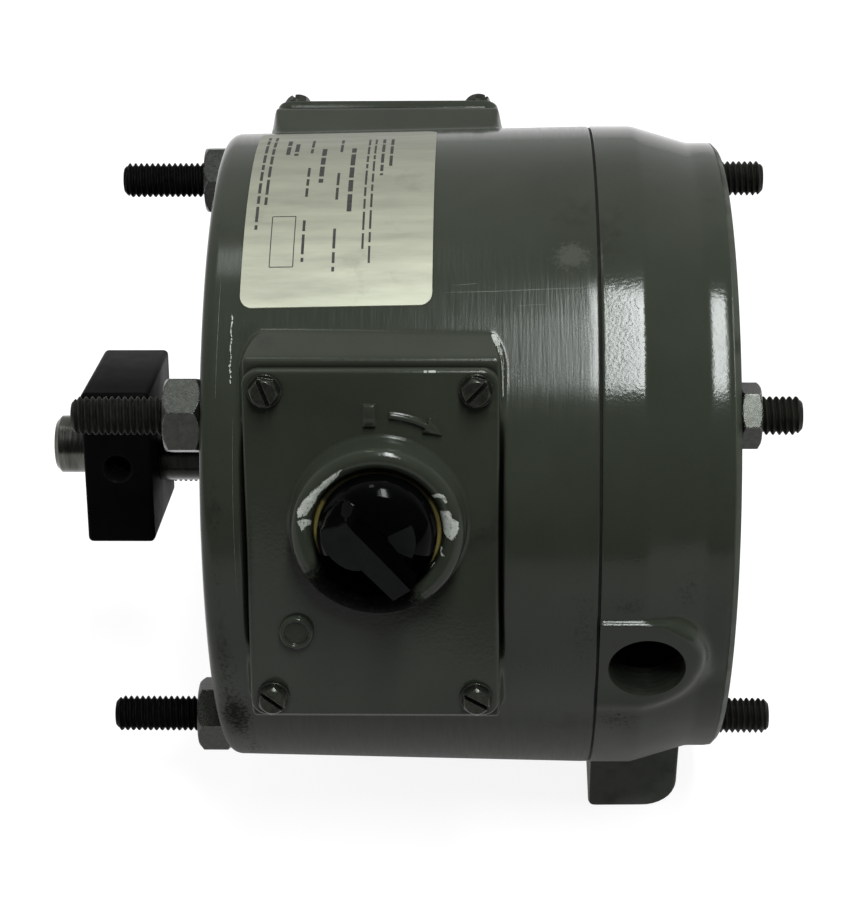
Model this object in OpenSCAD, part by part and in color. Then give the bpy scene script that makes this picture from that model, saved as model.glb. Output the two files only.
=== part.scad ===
// Spring applied brake, double face coupler type, built about its shaft axis.
// X runs along the shaft towards the motor face, Z is up, the release knob is on -Y.
// The origin is the point where the shaft axis meets the motor face.

/* [Body] */
// outer radius where housing and endplate meet
body_r = 87.2; // [84:0.2:92]
// loss of radius from draft along the housing
draft_drop = 1.8; // [0.5:0.1:3]
// length of the housing casting
housing_len = 96.9; // [94:0.1:110]
// length of the endplate casting
endplate_len = 34; // [32:0.5:40]
// rounding of the free housing edge
edge_r = 3; // [1:0.5:5]
// thickness of the housing end wall
end_wall = 8; // [6:0.5:10]
// thickness of the housing side wall at the parting plane
side_wall = 9.2; // [8.4:0.2:11]
// thickness of the body gasket
gasket_t = 0.5; // [0.3:0.1:1]
// loss of radius at the motor end of the endplate
nose_drop = 4.5; // [2:0.5:5]
// distance from axis to the underside of the feet
foot_drop = 88.9; // [88:0.1:95]
// half width over both feet
foot_half = 54; // [45:1:58]

/* [Studs] */
// diameter of the through studs
stud_d = 9.525; // [8:0.1:10]
// distance from the outer radius in to the stud circle
stud_inset = 12.5875; // [11.5:0.0125:13.5]
// stud length outside the housing end face
stud_out_l = 32.3; // [20:0.1:40]
// stud length outside the motor face
stud_out_r = 15.1; // [8:0.1:20]
// width across flats of the stud nuts
nut_af = 17.46; // [15:0.1:19]
// height of the stud nuts
nut_h = 9.1; // [7:0.1:10]
// width across flats of the jam nut
jam_af = 14.29; // [13:0.1:17]
// height of the jam nut
jam_h = 4.9; // [4:0.1:6]

/* [Covers] */
// angle of the cover pads above the horizontal
pad_angle = 22.5; // [20:0.5:25]
// depth of the pad faces below the outer radius
pad_drop = 6.2; // [5.2:0.1:6.8]
// length of the cover plates along the axis
cover_len = 60.8; // [56:0.2:64]
// width of the cover plates around the body
cover_wid = 88.8; // [84:0.2:92]
// thickness of the cover plates
cover_t = 3; // [2:0.2:4]
// thickness of the cover gaskets
cover_gasket = 0.8; // [0.4:0.1:1.2]
// distance from the motor face to the middle of the covers
cover_mid = 89.4; // [88:0.2:91]
// width across flats of the cover screw heads
screw_af = 6.4; // [5:0.1:7]

/* [Release knob] */
// distance from the motor face to the knob axis
knob_x = 87.8; // [87:0.1:89]
// knob offset towards the top edge of the cover
knob_t = 6.5; // [4:0.5:7]
// radius of the raised collar around the knob
collar_r = 20.9; // [20:0.1:22]
// height of the raised collar
collar_h = 9; // [7:0.5:11]
// radius of the knob skirt
skirt_r = 13.9; // [12:0.1:14.5]
// height of the knob above its skirt
blade_h = 10; // [6:0.5:12]
// pointer length from the knob axis
pointer_len = 16; // [14:0.5:18]
// rest angle of the pointer seen from outside
pointer_rest = -46; // [-60:1:-30]
// turn of the knob from released to set
knob_turn = 135; // [90:1:140]

/* [Shaft] */
// diameter of the output shaft end
shaft_d = 15.875; // [14:0.1:17]
// diameter of the front bearing journal
journal_d = 20; // [19:0.1:21]
// shaft length outside the housing end face
shaft_out = 49.8; // [44:0.2:60]
// side of the square coupling hub
hub_side = 42.6; // [36:0.2:48]
// thickness of the square coupling hub
hub_len = 18.3; // [15:0.1:22]
// rest angle of the coupling hub
hub_turn = 20.9; // [0:0.1:45]

/* [Brake] */
// radial room between the friction discs and the ring bore
disc_clear = 5; // [4:0.5:10]
// thickness of each friction disc
disc_t = 4; // [3:0.1:4.2]
// thickness of the stationary disc
steel_t = 3; // [2:0.1:3.2]
// running gap between neighbouring discs
disc_gap = 0.15; // [0.1:0.05:0.2]
// thickness of the pressure plate
press_t = 8; // [6:0.5:9]
// lift of the pressure plate when released
press_lift = 0.9; // [0.5:0.1:1]
// side of the square drive hub
drive_side = 36; // [32:0.5:38]
// distance from the lever pivot to the shaft axis
lever_arm = 52; // [48:1:54]

/* [Fits] */
// radial running clearance of turning pins
run_gap = 0.06; // [0.02:0.01:0.1]
// clearance of loose holes
loose = 0.4; // [0.3:0.05:0.6]
// clearance of fixed pins and seats
seat = 0.02; // [0:0.01:0.05]
// radial step between a stud thread and its shank
step = 0.05; // [0.02:0.01:0.1]
// radial step from the free shaft end up to the seat under the hub
seat_step = 0.2; // [0.1:0.05:0.4]

/* [Hidden] */
$fn = 96;

// axial stations
x_part = -endplate_len;
x_house = x_part - gasket_t;
x_end = x_house - housing_len;
x_inner = x_end + end_wall;
end_r = body_r - draft_drop;
bore_r = body_r - side_wall;
// radius of the drafted body at a station
function skin_r(x) = body_r - draft_drop * (x_house - x) / housing_len;

// studs
stud_r = stud_d / 2;
stud_pr = body_r - stud_inset;
stud_angles = [45, 135, 225, 315];
nut_turns = [-12.6, -0.4, 7, 4.4];
boss_r = stud_r + 4.2;
x_stud_l = x_end - stud_out_l;
x_shank_l = x_end - nut_h - loose;
x_shank_r = jam_h + loose;

// covers
x_cover = -cover_mid;
pad_face = body_r - pad_drop;
cover_r = 4;
cover_in = pad_face + cover_gasket;
cover_out = cover_in + cover_t;
pad_len = cover_len + 3.3;
pad_half = cover_wid / 2 + 1.8;
pad_slope = 0.36;
screw_x = cover_len / 2 - 5.2;
screw_y = cover_wid / 2 - 4.9;
slot_angles = [111, -37, 46, -29];
window_len = 44;
window_lo = -36;
window_hi = 16;

// knob and collar
x_knob = -knob_x;
rim_w = 2.35;
recess_r = collar_r - 2 * rim_w;
recess_floor = cover_out + collar_h - 4;
washer_t = 1.2;
skirt_z = recess_floor + washer_t + 0.3;
skirt_h = 4.5;
blade_z = skirt_z + skirt_h;
spindle_r = 5;
collar_in = pad_face - 7;
inner_boss_r = 9;

// axial stack of the brake
friction_x = -20;
ring_wall = 21.2;
ring_r = body_r - ring_wall;
disc_r = ring_r - disc_clear;
press_r = ring_r - 2;
steel_r = ring_r - 2.5;
x_disc_a = friction_x - disc_gap - disc_t;
x_steel = x_disc_a - disc_gap - steel_t;
x_disc_b = x_steel - disc_gap - disc_t;
x_press = x_disc_b - disc_gap - press_lift - press_t;
support_t = 6;
x_support = x_press - 21.5 - support_t;
lever_t = 6;
x_lever = x_support - 14;
x_pivot = x_lever + lever_t / 2;
pivot_r = 3;
pull_s = 27;
pull_r = 2.9;
link_t = 48;
slot_angles_ear = [90, 210, 330];
ear_w = 12.4;
ear_r = ring_r + 4.5;
post_angles = [30, 150, 270];
post_r = ring_r + 4;
post_rad = 5;

// eccentric that couples knob and lever
swing = press_lift / lever_arm;
cam_travel = swing * (lever_arm + knob_t);
cam_e = cam_travel / (2 * sin(knob_turn / 2));
cam_r = 4.5;
cam_x = x_knob - cam_e * sin(knob_turn / 2);
cam_t = knob_t - cam_e * cos(knob_turn / 2);

// solenoid
frame_gap = 4.4;
frame_x0 = x_inner + frame_gap;
frame_x1 = x_lever - 6;
coil_x0 = frame_x0 + 9;
coil_x1 = frame_x1 - 4;
plunger_half = 7;

// bearings and shaft
shaft_r = shaft_d / 2;
journal_r = journal_d / 2;
front_od = 21;
front_w = 12;
x_front = x_end + 5;
rear_od = 27.5;
rear_id = 15;
rear_w = 13;
x_rear = friction_x + 1;
x_shoulder = x_front + front_w + 0.5;
x_shaft_l = x_end - shaft_out;
x_hub = x_shaft_l + 10.6;
boss_l = 1.6;
x_seat = x_hub - boss_l - 0.3;
drive_len = 18.8;
x_drive = friction_x - 0.3 - drive_len;
motor_bore_r = shaft_r + 0.01;
motor_bore_len = 48;
x_shaft_r = -4;
key_w = 4.76;

// conduit entry
conduit_x = -22;
conduit_r = 9.6;
conduit_pad_r = 15;

// label
label_len = 47;
label_x = -98.5;
label_angle = 88.75;
label_gap = 9.2;
pad_edge = asin((pad_half + pad_slope * pad_face) / (body_r * sqrt(1 + pad_slope * pad_slope)))
    - atan(pad_slope);
label_half = body_r * sin(90 - pad_angle - pad_edge) - label_gap;
label_t = 0.25;

// colours
paint = [0.33, 0.35, 0.33];
steel = [0.60, 0.60, 0.58];
black = [0.07, 0.07, 0.07];
zinc = [0.70, 0.70, 0.68];
brass = [0.75, 0.63, 0.22];
copper = [0.62, 0.33, 0.18];
lining = [0.30, 0.24, 0.18];
foil = [0.80, 0.79, 0.72];

// helpers
module rod(x0, x1, r) translate([x0, 0, 0]) rotate([0, 90, 0]) cylinder(h = x1 - x0, r = r);
module polar(a, r) translate([0, -r * cos(a), r * sin(a)]) children();
module pad_frame(a = pad_angle) rotate([90 - a, 0, 0]) children();
module slab(x0, x1) translate([x0, 0, 0]) rotate([90, 0, 90]) linear_extrude(x1 - x0) children();
module turned() rotate([0, 90, 0]) rotate_extrude() children();
module round_plate(l, w, r, t) {
    linear_extrude(t) {
        square([l - 2 * r, w], center = true);
        square([l, w - 2 * r], center = true);
        for (i = [-1, 1])
            for (j = [-1, 1])
                translate([i * (l / 2 - r), j * (w / 2 - r)]) circle(r);
    }
}
module hex_nut(af, h, bore) {
    difference() {
        intersection() {
            cylinder(h = h, r = af / sqrt(3), $fn = 6);
            rotate_extrude() polygon([[0, 0], [af * 0.5, 0], [af * 0.6, h * 0.18],
                [af * 0.6, h * 0.82], [af * 0.5, h], [0, h]]);
        }
        translate([0, 0, -1]) cylinder(h = h + 2, r = bore);
    }
}

// housing casting
module pad_block() {
    pad_frame() intersection() {
        slab(x_cover - pad_len / 2, x_cover + pad_len / 2)
            polygon([[-pad_half, pad_face], [pad_half, pad_face],
                [pad_half + 24 * pad_slope, pad_face - 24], [-pad_half - 24 * pad_slope, pad_face - 24]]);
        translate([x_cover, 0, pad_face - 30]) round_plate(pad_len, 2 * pad_half + 8, 8, 40);
    }
}
module pad_pocket() {
    pad_frame() translate([x_cover - pad_len / 2, -pad_half, pad_face]) cube([pad_len, 2 * pad_half, 20]);
}
module pad_holes() {
    pad_frame() {
        translate([x_cover - window_len / 2, window_lo, 40])
            cube([window_len, window_hi - window_lo, pad_face]);
        for (i = [-1, 1])
            for (j = [-1, 1])
                translate([x_cover + i * screw_x, j * screw_y, pad_face - 10.2]) cylinder(h = 20, r = 2.1);
    }
}
module housing_skin() {
    turned() {
        polygon([[0, x_end], [end_r - edge_r, x_end], [end_r - edge_r, x_end + edge_r],
            [skin_r(x_end + edge_r), x_end + edge_r], [body_r, x_house], [0, x_house]]);
        translate([end_r - edge_r, x_end + edge_r]) circle(edge_r);
    }
}
module housing() {
    color(paint) difference() {
        union() {
            difference() {
                union() {
                    difference() {
                        housing_skin();
                        pad_pocket();
                        mirror([0, 1, 0]) pad_pocket();
                    }
                    pad_block();
                    mirror([0, 1, 0]) pad_block();
                }
                rod(x_inner, x_house + 1, bore_r);
            }
            for (a = stud_angles) polar(a, stud_pr) rod(x_inner - 1, x_house, boss_r);
            rod(x_inner - 1, x_front + front_w, front_od + 7);
        }
        for (a = stud_angles) polar(a, stud_pr) rod(x_end - 1, x_house + 1, stud_r + loose);
        rod(x_front, x_house, front_od + seat);
        rod(x_end - 1, x_front + 1, front_od - 5);
        pad_holes();
        mirror([0, 1, 0]) pad_holes();
    }
}

// endplate casting
module foot() {
    slab_x0 = x_part + 1;
    slab_x1 = x_part + 25.5;
    intersection() {
        translate([slab_x0, -foot_half, -foot_drop]) cube([slab_x1 - slab_x0, 24, foot_drop]);
        translate([0, -foot_half - 1, 0]) rotate([-90, 0, 0]) linear_extrude(30) {
            translate([slab_x0, 0]) square([slab_x1 - slab_x0 - 9.5, foot_drop]);
            translate([slab_x0, 0]) square([slab_x1 - slab_x0, foot_drop - 9.5]);
            translate([slab_x1 - 9.5, foot_drop - 9.5]) circle(9.5);
        }
    }
}
module endplate() {
    nose_r = body_r - nose_drop;
    color(paint) difference() {
        union() {
            turned() polygon([[0, x_part], [body_r, x_part], [body_r, x_part + 11],
                [nose_r, x_part + 26], [nose_r, -1.6], [nose_r - 1.6, 0], [0, 0]]);
            pad_frame(0) intersection() {
                translate([conduit_x, 0, body_r - 30]) cylinder(h = 30, r = conduit_pad_r);
                translate([x_part, -50, 0]) cube([50, 100, body_r + 1]);
            }
            pad_frame(0) translate([x_part, -conduit_pad_r, body_r - 30])
                cube([conduit_x - x_part, 2 * conduit_pad_r, 30]);
            foot();
            mirror([0, 1, 0]) foot();
        }
        rod(x_part - 1, friction_x, ring_r);
        rod(friction_x - 1, x_rear + rear_w, rear_od + seat);
        rod(x_rear, 1, rear_od - 4.5);
        rod(-3.2, 1, 57.15);
        for (a = stud_angles) polar(a, stud_pr) rod(x_part - 1, 1, stud_r + seat);
        for (a = slot_angles_ear) pad_frame(a) translate([x_part - 1, -ear_w / 2 - 0.3, ring_r - 8])
            cube([friction_x - x_part + 1, ear_w + 0.6, ear_r + 0.4 - ring_r + 8]);
        for (a = post_angles) polar(a, post_r) rod(x_part - 1, x_part + 9.2, 3 + seat);
        pad_frame(0) translate([conduit_x, 0, ring_r - 1]) cylinder(h = 40, r = conduit_r);
    }
}
module body_gasket() {
    color(black) difference() {
        rod(x_house, x_part, body_r - 0.4);
        rod(x_house - 1, x_part + 1, bore_r + 0.3);
        for (a = stud_angles) polar(a, stud_pr) rod(x_house - 1, x_part + 1, stud_r + loose + 0.3);
    }
}

// studs and nuts
module thru_studs() {
    color(black) for (a = stud_angles) polar(a, stud_pr) turned()
        polygon([[0, x_stud_l], [stud_r - 1, x_stud_l], [stud_r, x_stud_l + 1], [stud_r, x_shank_l],
            [stud_r - step, x_shank_l], [stud_r - step, x_shank_r], [stud_r, x_shank_r],
            [stud_r, stud_out_r - 1], [stud_r - 1, stud_out_r], [0, stud_out_r]]);
}
module stud_nuts() {
    color(zinc) for (i = [0 : 3]) polar(stud_angles[i], stud_pr) translate([x_end - nut_h, 0, 0])
        rotate([nut_turns[i], 0, 0]) rotate([0, 90, 0]) hex_nut(nut_af, nut_h, stud_r + seat);
}
module jam_nut() {
    color(zinc) polar(stud_angles[0], stud_pr) rotate([12, 0, 0]) rotate([0, 90, 0])
        hex_nut(jam_af, jam_h, stud_r + seat);
}

// cover plates
module cover_plate() {
    difference() {
        translate([x_cover, 0, cover_in]) round_plate(cover_len, cover_wid, cover_r, cover_t);
        for (i = [-1, 1])
            for (j = [-1, 1])
                translate([x_cover + i * screw_x, j * screw_y, cover_in - 1]) cylinder(h = 20, r = 2.3);
    }
}
module arrow_mark() {
    mark_r = 26.9;
    mark_h = 0.8;
    translate([0, 0, -0.5]) intersection() {
        difference() {
            cylinder(h = mark_h + 0.5, r = mark_r + 0.7);
            translate([0, 0, -1]) cylinder(h = mark_h + 3, r = mark_r - 0.7);
        }
        linear_extrude(mark_h + 1) polygon([[0, 0], [40 * cos(64), 40 * sin(64)], [40 * cos(84), 40 * sin(84)]]);
    }
    translate([0, 0, -0.5]) linear_extrude(mark_h + 0.5)
        polygon([[mark_r * cos(55), mark_r * sin(55)], [(mark_r + 2.1) * cos(64.5), (mark_r + 2.1) * sin(64.5)],
            [(mark_r - 2.1) * cos(64.5), (mark_r - 2.1) * sin(64.5)]]);
    translate([-3.5, mark_r - 3, -0.5]) linear_extrude(mark_h + 0.5) square([3.2, 5.7]);
}
module front_cover() {
    rim = collar_r - rim_w;
    color(paint) pad_frame() {
        difference() {
            union() {
                cover_plate();
                translate([x_knob, knob_t, 0]) {
                    rotate_extrude() {
                        polygon([[0, cover_out - 1], [collar_r + 1.4, cover_out - 1], [collar_r + 1.4, cover_out],
                            [collar_r, cover_out + 1.4], [collar_r, cover_out + collar_h - rim_w],
                            [0, cover_out + collar_h - rim_w]]);
                        translate([rim, cover_out + collar_h - rim_w]) circle(rim_w);
                    }
                    translate([0, 0, collar_in]) cylinder(h = cover_out - collar_in, r = inner_boss_r);
                    translate([0, 0, cover_out]) arrow_mark();
                }
            }
            translate([x_knob, knob_t, recess_floor]) cylinder(h = 20, r = recess_r);
            translate([x_knob, knob_t, collar_in - 1]) cylinder(h = 40, r = spindle_r + run_gap);
            translate([x_cover - 19, -22, cover_in - 1]) cylinder(h = 20, r = 2.6);
        }
    }
}
module rear_cover() color(paint) mirror([0, 1, 0]) pad_frame() cover_plate();
module cover_gasket_sheet() {
    difference() {
        translate([x_cover, 0, pad_face]) round_plate(cover_len - 0.8, cover_wid - 0.8, cover_r, cover_gasket);
        translate([x_cover - window_len / 2, window_lo, pad_face - 1])
            cube([window_len, window_hi - window_lo, 5]);
        for (i = [-1, 1])
            for (j = [-1, 1])
                translate([x_cover + i * screw_x, j * screw_y, pad_face - 1]) cylinder(h = 20, r = 2.3);
    }
}
module front_gasket() color(black) pad_frame() cover_gasket_sheet();
module rear_gasket() color(black) mirror([0, 1, 0]) pad_frame() cover_gasket_sheet();
module slot_screw(turn) {
    difference() {
        union() {
            translate([0, 0, cover_out]) cylinder(h = 0.9, r = screw_af / 2 + 0.9);
            translate([0, 0, cover_out]) rotate([0, 0, turn]) intersection() {
                cylinder(h = 3.4, r = screw_af / sqrt(3), $fn = 6);
                rotate_extrude() polygon([[0, 0], [screw_af, 0], [screw_af * 0.58, 2.6],
                    [screw_af * 0.46, 3.4], [0, 3.4]]);
            }
            translate([0, 0, pad_face - 9]) cylinder(h = cover_out - pad_face + 9.5, r = 2);
        }
        translate([0, 0, cover_out + 3.4]) rotate([0, 0, turn]) cube([12, 1.1, 2.6], center = true);
    }
}
module screw_set() {
    pad_frame() for (i = [0, 1])
        for (j = [0, 1])
            translate([x_cover + (2 * i - 1) * screw_x, (1 - 2 * j) * screw_y, 0])
                slot_screw(slot_angles[2 * i + j]);
}
module cover_screws() {
    color(zinc) {
        screw_set();
        mirror([0, 1, 0]) screw_set();
    }
}
module access_plug() {
    color(paint) pad_frame() translate([x_cover - 19, -22, 0]) {
        translate([0, 0, cover_in - 1]) cylinder(h = cover_t + 1.5, r = 2.5);
        translate([0, 0, cover_out]) cylinder(h = 1.9, r1 = 4.2, r2 = 3.8);
    }
}
module label_plate() {
    color(foil) intersection() {
        difference() {
            turned() polygon([[0, x_end], [skin_r(x_end) + label_t, x_end], [body_r + label_t, x_house], [0, x_house]]);
            turned() polygon([[0, x_end - 1], [skin_r(x_end - 1) + seat, x_end - 1],
                [skin_r(x_house + 1) + seat, x_house + 1], [0, x_house + 1]]);
        }
        pad_frame(label_angle) translate([label_x, 0, body_r - 27]) round_plate(label_len, 2 * label_half, 3, 40);
    }
}

// release knob and spindle
module knob_washer() {
    color(brass) pad_frame() translate([x_knob, knob_t, recess_floor]) difference() {
        cylinder(h = washer_t, r = recess_r - 0.8);
        translate([0, 0, -1]) cylinder(h = 5, r = spindle_r + loose);
    }
}
module knob() {
    color(black) pad_frame() translate([x_knob, knob_t, 0]) difference() {
        union() {
            translate([0, 0, skirt_z]) cylinder(h = skirt_h, r1 = skirt_r, r2 = skirt_r - 0.4);
            rotate([0, 0, pointer_rest]) intersection() {
                rotate([90, 0, 90]) translate([0, 0, -skirt_r]) linear_extrude(skirt_r + pointer_len)
                    polygon([[-7.4, blade_z - 1], [7.4, blade_z - 1], [2.9, blade_z + blade_h],
                        [-2.9, blade_z + blade_h]]);
                union() {
                    translate([0, 0, blade_z - 1]) cylinder(h = blade_h + 2, r = skirt_r - 0.7);
                    translate([0, -4.2, blade_z - 1]) cube([pointer_len, 8.4, blade_h + 2]);
                }
            }
        }
        translate([0, 0, skirt_z - 1]) cylinder(h = 9, r = spindle_r + seat);
    }
}
module release_shaft() {
    color(steel) pad_frame() difference() {
        union() {
            translate([x_knob, knob_t, 52]) cylinder(h = skirt_z + 7.8 - 52, r = spindle_r);
            translate([cam_x, cam_t, 43]) cylinder(h = 9.5, r = cam_r);
        }
        translate([x_knob, knob_t, collar_in - 1.6]) difference() {
            cylinder(h = 1.2, r = spindle_r + 2);
            translate([0, 0, -1]) cylinder(h = 4, r = spindle_r - 0.8);
        }
    }
}
module release_clip() {
    color(steel) pad_frame() translate([x_knob, knob_t, collar_in - 1.5]) difference() {
        cylinder(h = 1, r = 8);
        translate([0, 0, -1]) cylinder(h = 4, r = spindle_r - 0.8 + seat);
        translate([0, -2.5, -1]) cube([20, 5, 4]);
    }
}

// shaft and everything that turns with it
module shaft_seal() {
    color(black) difference() {
        rod(x_end + 0.6, x_front, front_od - 5);
        rod(x_end - 1, x_front + 1, journal_r + 0.3);
    }
}
module race_pair(outer, id, od, x0, w) {
    mid = (id + od) / 2;
    ball = (od - id) * 0.27;
    if (outer) {
        turned() difference() {
            translate([mid + ball * 0.45, x0]) square([od - mid - ball * 0.45, w]);
            translate([mid, x0 + w / 2]) circle(ball + 0.3);
        }
    }
    if (!outer) {
        turned() translate([id, x0]) square([mid - ball * 0.45 - id, w]);
        for (a = [0 : 40 : 320]) polar(a, mid) translate([x0 + w / 2, 0, 0]) sphere(ball);
    }
}
module front_outer_race() color(steel) race_pair(true, journal_r, front_od, x_front, front_w);
module front_inner_race() color(steel) race_pair(false, journal_r + seat, front_od, x_front, front_w);
module rear_outer_race() color(steel) race_pair(true, rear_id, rear_od, x_rear, rear_w);
module rear_inner_race() color(steel) race_pair(false, rear_id + seat, rear_od, x_rear, rear_w);
module shaft() {
    color(steel) difference() {
        turned() polygon([[0, x_shaft_l], [shaft_r - 1.3, x_shaft_l], [shaft_r, x_shaft_l + 1.3],
            [shaft_r, x_seat], [shaft_r + seat_step, x_seat], [shaft_r + seat_step, x_hub + hub_len],
            [journal_r, x_hub + hub_len], [journal_r, x_shoulder],
            [rear_id - 1, x_shoulder], [rear_id - 1, x_drive - 2], [rear_id, x_drive - 2],
            [rear_id, x_shaft_r], [0, x_shaft_r]]);
        rod(x_shaft_r - motor_bore_len, x_shaft_r + 1, motor_bore_r);
        translate([x_shaft_r - motor_bore_len, -key_w / 2, 0]) cube([motor_bore_len + 1, key_w, motor_bore_r + 2.2]);
        turned() translate([rear_id - 0.9, x_drive - 1.5]) square([4, 1.4]);
        translate([x_drive + 1, -key_w / 2, -rear_id - 1]) cube([drive_len - 2, key_w, 3.4]);
        rotate([180 - hub_turn, 0, 0]) translate([x_hub + 2, -key_w / 2, shaft_r - 2.4])
            cube([hub_len - 4, key_w, 8]);
    }
}
module hub_ring() {
    color(steel) difference() {
        rod(x_drive - 1.45, x_drive - 0.15, rear_id + 2.6);
        rod(x_drive - 3, x_drive + 1, rear_id - 0.9 + seat);
        translate([x_drive - 3, -3, 0]) cube([5, 6, 40]);
    }
}
module drive_hub() {
    color(steel) difference() {
        translate([x_drive, -drive_side / 2, -drive_side / 2]) cube([drive_len, drive_side, drive_side]);
        rod(x_drive - 1, x_drive + drive_len + 1, rear_id + seat);
        translate([x_drive - 1, -key_w / 2, -rear_id - 1.4]) cube([drive_len + 2, key_w, 8]);
    }
}
module drive_key() {
    color(steel) translate([x_drive + 1.2, -key_w / 2 + seat, -rear_id - 1.3])
        cube([drive_len - 2.4, key_w - 2 * seat, 3.6]);
}
module friction_disc(x0) {
    difference() {
        rod(x0, x0 + disc_t, disc_r);
        translate([x0 - 1, -drive_side / 2 - 0.3, -drive_side / 2 - 0.3])
            cube([disc_t + 2, drive_side + 0.6, drive_side + 0.6]);
    }
}
module friction_disc_a() color(lining) friction_disc(x_disc_a);
module friction_disc_b() color(lining) friction_disc(x_disc_b);
module eared_plate(x0, t, r) {
    rod(x0, x0 + t, r);
    for (a = slot_angles_ear) pad_frame(a) translate([x0, -ear_w / 2, r - 6]) cube([t, ear_w, ear_r - r + 6]);
}
module stationary_disc() {
    color(steel) difference() {
        eared_plate(x_steel, steel_t, steel_r);
        rod(x_steel - 1, x_steel + steel_t + 1, 29);
    }
}
module coupling_hub() {
    h = hub_side / 2;
    color(black) rotate([-hub_turn, 0, 0]) difference() {
        union() {
            translate([x_hub, -h, -h]) intersection() {
                cube([hub_len, hub_side, hub_side]);
                translate([0, h, h]) slab(-1, hub_len + 1) polygon([[-h + 1, -h], [h - 1, -h], [h, -h + 1],
                    [h, h - 1], [h - 1, h], [-h + 1, h], [-h, h - 1], [-h, -h + 1]]);
            }
            rod(x_hub - boss_l, x_hub + 1, 9.9);
        }
        rod(x_hub - 3, x_hub + hub_len + 1, shaft_r + seat_step + seat);
        translate([x_hub + hub_len / 2, 0, 0]) rotate([90, 0, 0]) cylinder(h = hub_side, r = 3.2);
        translate([x_hub - 3, -key_w / 2, -shaft_r - 2.4]) cube([hub_len + 4, key_w, 8]);
    }
}
module coupling_key() {
    color(steel) rotate([180 - hub_turn, 0, 0]) translate([x_hub + 2.2, -key_w / 2 + seat, shaft_r - 2.3])
        cube([hub_len - 4.4, key_w - 2 * seat, 4.5]);
}
module coupling_screw() {
    color(black) rotate([-hub_turn, 0, 0]) translate([x_hub + hub_len / 2, -shaft_r - seat_step - seat, 0])
        rotate([90, 0, 0]) difference() {
            cylinder(h = 8, r = 3.2 - seat);
            translate([0, 0, 4.5]) cylinder(h = 5, r = 1.85, $fn = 6);
        }
}

// support plate and its posts
module support_plate() {
    color(steel) difference() {
        union() {
            rod(x_support, x_support + support_t, bore_r - 1.5);
            pad_frame() for (i = [-1, 1]) translate([0, 0, i * 15.5 - 3]) {
                translate([x_pivot, -lever_arm, 0]) cylinder(h = 6, r = 6);
                translate([x_pivot, -lever_arm - 6, 0]) cube([x_support + 1 - x_pivot, 12, 6]);
            }
        }
        for (a = stud_angles) polar(a, stud_pr) rod(x_support - 1, x_support + support_t + 1, boss_r + 2);
        for (a = post_angles) polar(a, post_r) rod(x_support - 1, x_support + support_t + 1, 3 + seat);
        rod(x_support - 1, x_support + support_t + 1, 18);
        pad_frame() for (i = [-1, 1]) translate([0, 0, i * pull_s]) rod(x_support - 1, x_support + support_t + 1, 4);
        pad_frame() translate([x_pivot, -lever_arm, -40]) cylinder(h = 80, r = pivot_r + seat);
    }
}
module support_posts() {
    color(steel) for (a = post_angles) polar(a, post_r) {
        rod(x_support + support_t, x_part, post_rad);
        rod(x_support - 7, x_part + 9, 3);
    }
}
module post_nuts() {
    color(zinc) for (a = post_angles) polar(a, post_r) translate([x_support - 5, 0, 0]) rotate([0, 90, 0])
        hex_nut(10, 5, 3 + seat);
}
module pivot_pin() {
    color(steel) pad_frame() translate([x_pivot, -lever_arm, -20]) cylinder(h = 40, r = pivot_r);
}

// solenoid
module solenoid_frame() {
    color(steel) pad_frame() difference() {
        union() {
            translate([frame_x0, link_t - 17, -17]) cube([frame_x1 - frame_x0, 34, 34]);
            for (i = [-1, 1]) translate([frame_x1 - 1, link_t - 14, i * 15 - 2])
                cube([x_support - frame_x1 + 1, 28, 4]);
        }
        translate([coil_x0 - 2, link_t - 13, -20]) cube([coil_x1 - coil_x0 + 2, 26, 40]);
        translate([frame_x0 + 6, link_t - plunger_half - loose, -plunger_half - loose])
            cube([frame_x1 - frame_x0, 2 * plunger_half + 2 * loose, 2 * plunger_half + 2 * loose]);
    }
}
module solenoid_coil() {
    c = plunger_half + loose;
    color(copper) pad_frame() difference() {
        translate([coil_x0 - 1.8, link_t - 12.8, -15.5]) cube([coil_x1 - coil_x0 + 1.6, 25.6, 31]);
        translate([coil_x0 - 5, link_t - c, -c]) cube([coil_x1 - coil_x0 + 10, 2 * c, 2 * c]);
    }
}
module plunger() {
    p = plunger_half;
    color(steel) pad_frame() difference() {
        translate([frame_x0 + 7, link_t - p, -p]) cube([x_lever + lever_t + 3 - frame_x0 - 7, 2 * p, 2 * p]);
        translate([x_lever - 4, link_t - p - 1, -3.6]) cube([40, 2 * p + 2, 7.2]);
        translate([x_pivot, link_t, -20]) cylinder(h = 40, r = 2.5 + seat);
    }
}
module link_pin() color(steel) pad_frame() translate([x_pivot, link_t, -8.5]) cylinder(h = 17, r = 2.5);

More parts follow.
